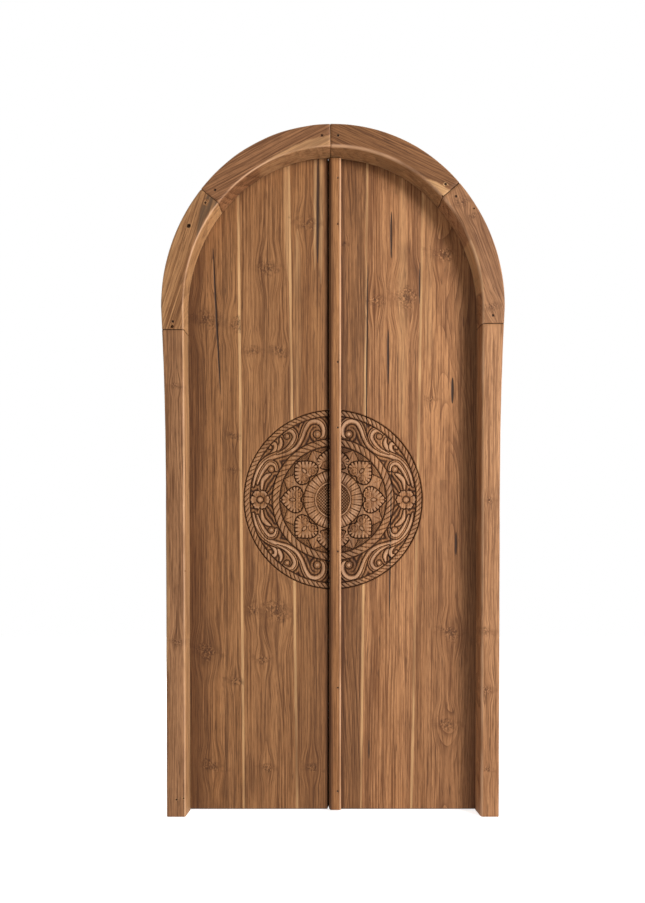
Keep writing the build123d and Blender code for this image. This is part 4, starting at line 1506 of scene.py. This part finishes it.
# %% Tones, hearts and knots of the planks
plank_tones = {
    "left_outer": (tone(176, 124, 80), tone(146, 99, 60), tone(84, 51, 27)),
    "left_middle": (tone(178, 126, 82), tone(146, 99, 61), tone(88, 53, 28)),
    "left_inner": (tone(172, 120, 76), tone(140, 93, 56), tone(84, 50, 27)),
    "right_inner": (tone(168, 117, 76), tone(135, 91, 56), tone(82, 49, 26)),
    "right_middle": (tone(198, 141, 95), tone(164, 112, 71), tone(100, 60, 33)),
    "right_outer": (tone(200, 142, 95), tone(165, 113, 72), tone(100, 60, 33)),
}
plank_hearts = {
    "left_outer": (-0.43, 0.035, -0.015), "left_middle": (-0.245, 0.030, -0.012),
    "left_inner": (0.06, 0.05, 0.01), "right_inner": (-0.10, 0.06, 0.0),
    "right_middle": (0.42, 0.04, 0.01), "right_outer": (0.42, 0.035, 0.012),
}
plank_knots = {
    "left_outer": [(-0.345, 1.759, 0.013), (-0.455, 1.775, 0.016), (-0.360, 1.358, 0.006),
                   (-0.361, 1.235, 0.006), (-0.461, 0.576, 0.014), (-0.352, 0.470, 0.008),
                   (-0.441, 0.160, 0.012)],
    "left_middle": [(-0.232, 1.960, 0.013), (-0.289, 1.661, 0.010), (-0.190, 1.661, 0.010),
                    (-0.285, 0.721, 0.010), (-0.206, 0.725, 0.019), (-0.253, 0.547, 0.009),
                    (-0.238, 0.156, 0.008)],
    "left_inner": [(-0.090, 2.118, 0.012), (-0.079, 0.160, 0.010)],
    "right_inner": [(0.040, 2.045, 0.005)],
    "right_middle": [(0.150, 1.845, 0.012), (0.268, 1.853, 0.019)],
    "right_outer": [(0.402, 2.009, 0.014), (0.355, 1.488, 0.006), (0.427, 0.645, 0.013),
                    (0.413, 0.312, 0.012)],
}
print("knots:", sum(len(knots) for knots in plank_knots.values()), "in", len(plank_knots), "planks")

# %% [markdown]
# A plank sawn near the bark keeps a pale band of sapwood along its edge, which is why the seams show as light
# lines. Cracks open along the grain. Painted shade darkens the boards beside the frame and beside the strip,
# and some boards are made darker towards the foot. Each is a streak: side and lean, low and high end, half
# width, softness and strength.

# %% Seams, cracks and painted shade of the planks
def seam_band(seam, side, half=0.005, strength=1.0):
    """A band of sapwood along a seam; side moves it by that many half widths to the right."""
    lean = (seam[1] - seam[0]) / door_height
    middle = (seam[0] + seam[1]) / 2 + side * half
    return middle, lean, -0.6 * door_height, 1.6 * door_height, half, 0.35, strength


outer_band = seam_band(left_outer_seam, -0.8)
left_band = seam_band(left_inner_seam, 0.9)
right_band = seam_band(right_inner_seam, 0.6, 0.0045)
far_band = seam_band(right_outer_seam, 0.7)
plank_sapwood = {
    "left_outer": [outer_band],
    "left_middle": [outer_band, left_band, (-0.162, -0.02, 1.90, 2.50, 0.014, 0.6, 0.42)],
    "left_inner": [left_band,
                   (-0.064, 0.005, 1.95, 2.45, 0.005, 0.5, 0.60),
                   (-0.042, 0.005, 1.90, 2.50, 0.008, 0.6, 0.45),
                   (-0.128, 0.0, 1.42, 2.10, 0.012, 0.8, 0.30)],
    "right_inner": [right_band],
    "right_middle": [right_band, far_band, (0.250, 0.0, 1.35, 2.30, 0.016, 0.8, 0.26)],
    "right_outer": [far_band, (0.345, 0.0, 1.60, 2.30, 0.018, 0.8, 0.30)],
}
seam_lean = (right_inner_seam[1] - right_inner_seam[0]) / door_height
plank_cracks = {
    "left_outer": [(-0.418, -0.048, 1.506, 2.030, 0.0034, 0.6, 0.95)],
    "left_inner": [(-0.054, 0.005, 1.976, 2.366, 0.0055, 0.8, 0.90)],
    "right_middle": [(0.210, 0.0, 1.994, 2.161, 0.0036, 0.5, 0.95),
                     (0.199, 0.0, 1.542, 1.741, 0.0034, 0.5, 0.95),
                     (0.208, 0.012, 0.70, 1.27, 0.0030, 0.5, 0.95),
                     (0.131, 0.0, 0.186, 0.258, 0.0026, 0.5, 0.9),
                     (0.1225, seam_lean, 1.33, 1.98, 0.0030, 0.6, 0.92),
                     (0.3125, 0.018, 1.83, 1.98, 0.0026, 0.6, 0.9)],
    "right_outer": [(0.431, 0.0, 1.473, 1.567, 0.0050, 0.5, 0.95),
                    (0.445, 0.0, 0.927, 1.010, 0.0036, 0.5, 0.95)],
}
whole = (-3.0, 5.0)
# painted shade along the hinge edges beside the jambs and along both sides of the cover strip; the broad
# streaks low on the boards make them darker towards the foot
plank_shade_and_darkening = {
    "left_outer": [(-leaf_half, 0.0, *whole, 0.062, 1.0, 0.62)],
    "left_inner": [(left_meeting[0], 0.0, *whole, 0.011, 1.0, 0.58),
                   (-0.08, 0.0, -0.4, 0.95, 0.10, 1.0, 0.20)],
    "right_inner": [(0.033, 0.0, *whole, 0.012, 0.8, 0.62), (0.06, 0.0, -0.4, 0.95, 0.10, 1.0, 0.16)],
    "right_outer": [(leaf_half - 0.01, 0.0, *whole, 0.050, 1.0, 0.55),
                    (0.40, 0.0, -0.4, 1.2, 0.14, 1.0, 0.24)],
}
for seed, (name, board) in enumerate(boards.items()):
    board_teak = teak(
        f"{name}_teak", plank_tones[name], seed + 1.0, plank_hearts[name], knots=plank_knots[name],
        sapwood=plank_sapwood[name], cracks=plank_cracks.get(name, ()), shade_and_darkening=plank_shade_and_darkening.get(name, ()),
    )
    dress(board, board_teak)
print("plank finishes:", len(boards))

# %% [markdown]
# An arch segment is sawn from a straight plank, so its grain runs along its chord and meets the curve at a
# slant. The wood's coordinates are turned for each segment. A patch is given by its start and end along the
# timber, its inner and outer limit across, its slope and its strength.

# %% Teak on the frame
frame_tones = {
    "left_jamb": (tone(180, 130, 90), tone(149, 104, 69), tone(92, 57, 33)),
    "right_jamb": (tone(196, 143, 100), tone(167, 116, 77), tone(106, 67, 39)),
    "left_lower_arch_segment": (tone(190, 138, 92), tone(162, 113, 72), tone(100, 63, 36)),
    "right_lower_arch_segment": (tone(180, 130, 91), tone(152, 106, 71), tone(98, 62, 38)),
    "left_upper_arch_segment": (tone(168, 118, 80), tone(138, 94, 62), tone(86, 52, 30)),
    "right_upper_arch_segment": (tone(150, 103, 66), tone(122, 81, 49), tone(76, 45, 24)),
}


def chord_turn(start, end):
    """Turn that lays the grain along an arch segment's chord."""
    a, b = arch_station(start)[0], arch_station(end)[0]
    return (0, atan2(a.x - b.x, b.z - a.z), 0)


turns = {
    "left_lower_arch_segment": chord_turn(pi, left_shoulder),
    "right_lower_arch_segment": chord_turn(0, right_shoulder),
    "left_upper_arch_segment": chord_turn(left_shoulder, crown_joint),
    "right_upper_arch_segment": chord_turn(right_shoulder, crown_joint),
}
frame_knots = {
    "right_jamb": [(0.539, 0.656, 0.008), (0.539, 0.452, 0.008), (0.549, 1.120, 0.006),
                   (0.542, 0.170, 0.006)],
    "right_lower_arch_segment": [(0.452, 2.160, 0.009), (0.490, 2.110, 0.006), (0.556, 1.795, 0.008)],
    "left_jamb": [(-0.552, 1.52, 0.006), (-0.545, 0.62, 0.007)],
}
# pale wood; the patches on the reveals and along the right lower arris are painted highlight as well
pale_and_lit_patches = {
    "left_upper_arch_segment": [(0.40, 1.10, 0.02, -0.30, -0.85, 0.40)],
    "right_upper_arch_segment": [(-0.10, 0.22, 0.06, 0.55, 2.2, 0.75), (-0.10, 1.10, -0.50, 0.06, 0.0, 0.30)],
    "right_lower_arch_segment": [(0.25, 0.62, -0.10, 0.14, 0.0, 0.55)],
    "left_lower_arch_segment": [(-0.10, 1.10, -0.50, 0.075, 0.0, 0.50), (-0.10, 1.10, 0.82, 1.20, 0.0, 0.25)],
    "left_jamb": [(-0.10, 1.10, -0.50, 0.085, 0.0, 0.50), (0.30, 0.62, 0.84, 1.20, 0.0, 0.4)],
}
grey_patches = {"left_lower_arch_segment": [(0.64, 1.10, 0.12, -1.06, -1.76, 0.85)]}
for seed, (name, piece) in enumerate(timbers.items()):
    timber_teak = teak(
        f"{name}_teak", frame_tones[name], seed + 11.0, (0.25 * (-1) ** seed, 0.10, 0.0),
        turn=turns.get(name, upright), knots=frame_knots.get(name, ()),
        pale_and_lit=pale_and_lit_patches.get(name, ()), grey=grey_patches.get(name, ()),
    )
    dress(piece, timber_teak)
print("frame finishes:", len(timbers))

# %% [markdown]
# The strip is a brighter piece of teak with painted shade along its left side. The ledges lie flat, so their
# grain is turned to run along X, and the pegs are dark.

# %% Teak on the strip, the ledges and the joinery
strip_tones = (tone(190, 134, 86), tone(160, 108, 66), tone(98, 60, 33))
# painted shade down the strip's left side, which faces away from the key lamp
strip_painted_shade = [(strip_low.x - 1 * mm, 0.0, *whole, 0.009, 0.7, 0.72)]
dress(strip, teak("strip_teak", strip_tones, 31.0, (0.3, 0.2, 0.0), shade_and_darkening=strip_painted_shade))
back_tones = (tone(168, 118, 80), tone(140, 95, 62), tone(88, 54, 32))
ledge_teak = teak("ledge_teak", back_tones, 41.0, (0.2, 0.1, 0.0), turn=(0, pi / 2, 0))
peg_tones = (tone(84, 54, 33), tone(62, 38, 22), tone(40, 23, 12))
joinery_teak = teak("joinery_teak", back_tones, 51.0, (0.2, 0.1, 0.0))
peg_teak = teak("peg_teak", peg_tones, 61.0, (0.2, 0.1, 0.0))
for piece in ledges.values():
    dress(piece, ledge_teak)
for name, node in nodes.items():
    if "ledge" in name:
        dress(node, ledge_teak)
    elif "tongue" in name or "tenon" in name:
        dress(node, joinery_teak)
    elif "pegs" in name:
        dress(node, peg_teak)
print("strip, ledges, tenons, tongues and pegs finished")

# %% [markdown]
# ## Iron
# The hinges are hand-forged iron, gone dark brown. Old iron isn't one colour: rust gathers in patches, and
# rubbed places stay grey. Noise chooses between the two, and the rusty parts are rough and hardly metallic.

# %% Iron on the hinges and nails
def iron(name, bare, rust):
    """A forged finish: bare metal with patches of rust."""
    material, tree, shader, place = new_material(name)
    patches = tree.remap(tree.noise(place, (45, 45, 45), 5.0, 0.6), 0.40, 0.62)
    grain = tree.noise(place, (900, 900, 900), 2.0)
    colour = tree.mix(patches, bare, rust)
    colour = tree.mix(tree.remap(grain, 0.4, 0.8, 0.0, 0.5), colour, tone(24, 18, 14))
    tree.plug(shader.inputs["Base Color"], colour)
    tree.plug(shader.inputs["Metallic"], tree.remap(patches, 0.0, 1.0, 0.75, 0.1))
    tree.plug(shader.inputs["Roughness"], tree.remap(patches, 0.0, 1.0, 0.45, 0.85))
    tree.bump(shader, grain, 0.4, 0.5 * mm)
    return material


hinge_iron = iron("hinge_iron", tone(92, 86, 80), tone(84, 52, 34))
nail_iron = iron("nail_iron", tone(48, 43, 40), tone(46, 30, 21))
for name, node in nodes.items():
    if "hinge" in name:
        dress(node, hinge_iron)
    elif "brads" in name:
        dress(node, nail_iron)
for piece in (*nail_heads.values(), *screws.values()):
    dress(piece, nail_iron)
print("iron on", len(nail_heads) + len(screws), "sets of heads")

# %% [markdown]
# ## Stage
# The door stands on a plain white floor, which also glows faintly on the door as a painted fill light from
# below. Light comes softly from the right and a little above, so that the right jamb shades the leaf beside
# it and the left reveal is bright; a pale sky fills the rest.

# %% Floor and sky
scene = bpy.context.scene
scene.view_settings.view_transform = "Standard"
floor_glow = 0.80
floor_fill_glow = 0.22
sky_level = 0.19


def seen_directly(tree):
    """1 where the camera sees a surface straight or in a mirror, 0 where it only lights other things."""
    ray = tree.node("ShaderNodeLightPath").outputs
    direct = tree.plus(ray["Is Camera Ray"], ray["Is Glossy Ray"])
    return tree.plus(direct, ray["Is Transmission Ray"], clamp=True)


bpy.ops.mesh.primitive_plane_add(size=14)
floor = bpy.context.object
floor.name = "floor"
floor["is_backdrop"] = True
white_floor, tree, shader, _ = new_material("white_floor")
shader.inputs["Base Color"].default_value = (0.9, 0.9, 0.9, 1)
shader.inputs["Roughness"].default_value = 0.9
shader.inputs["Emission Color"].default_value = (1, 1, 1, 1)
# the floor glows faintly for every ray but the camera's, a painted fill light on the door from below
floor_light = tree.remap(seen_directly(tree), 0.0, 1.0, floor_fill_glow, floor_glow)
tree.plug(shader.inputs["Emission Strength"], floor_light)
floor.data.materials.append(white_floor)

world = bpy.data.worlds.new("pale_sky")
scene.world = world
world.use_nodes = True
background = world.node_tree.nodes["Background"]
background.inputs["Color"].default_value = (1, 1, 1, 1)
tree = Wiring(world.node_tree)
tree.plug(background.inputs["Strength"], tree.remap(seen_directly(tree), 0.0, 1.0, sky_level, 1.0))
print("stage:", floor.name, "and", world.name)

# %% [markdown]
# One soft lamp stands at the front right and a weaker one behind the door. The camera stands low, is hardly
# tilted and has its picture shifted upwards, so that upright lines stay nearly parallel.

# %% Lamps and camera
door_middle = Vector((0, 0, 1.2))
camera_place = (0, -3.062, 0.907)
camera_tilt = 0.975
picture_height = 903
focal_pixels, side_pixels, up_pixels = 849.3, -10.4, 123.5


def soft_light(name, place, size, watts):
    """A square lamp that looks at the middle of the door."""
    light = bpy.data.lights.new(name, "AREA")
    light.size = size
    light.energy = watts
    lamp = bpy.data.objects.new(name, light)
    lamp.location = place
    lamp.rotation_euler = (door_middle - Vector(place)).to_track_quat("-Z", "Y").to_euler()
    scene.collection.objects.link(lamp)


soft_light("key", (3.6, -3.6, 2.7), 1.6, 260)
soft_light("back_fill", (-2.4, 3.6, 2.4), 2.0, 90)

camera_data = bpy.data.cameras.new("camera")
camera = bpy.data.objects.new("camera", camera_data)
scene.collection.objects.link(camera)
scene.camera = camera
camera.location = camera_place
camera.rotation_euler = (radians(90 - camera_tilt), 0, 0)
camera_data.sensor_width = 36
camera_data.lens = focal_pixels / picture_height * camera_data.sensor_width
camera_data.shift_x = side_pixels / picture_height
camera_data.shift_y = up_pixels / picture_height
print("camera:", round(camera_data.lens, 1), "mm lens")

# %% [markdown]
# The box of the finished door is written beside the construction model's box, to show that the dressing
# stays inside.

# %% Show the box of the finished door
low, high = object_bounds()
print("visual box:", [round(size, 4) for size in high - low], "m")
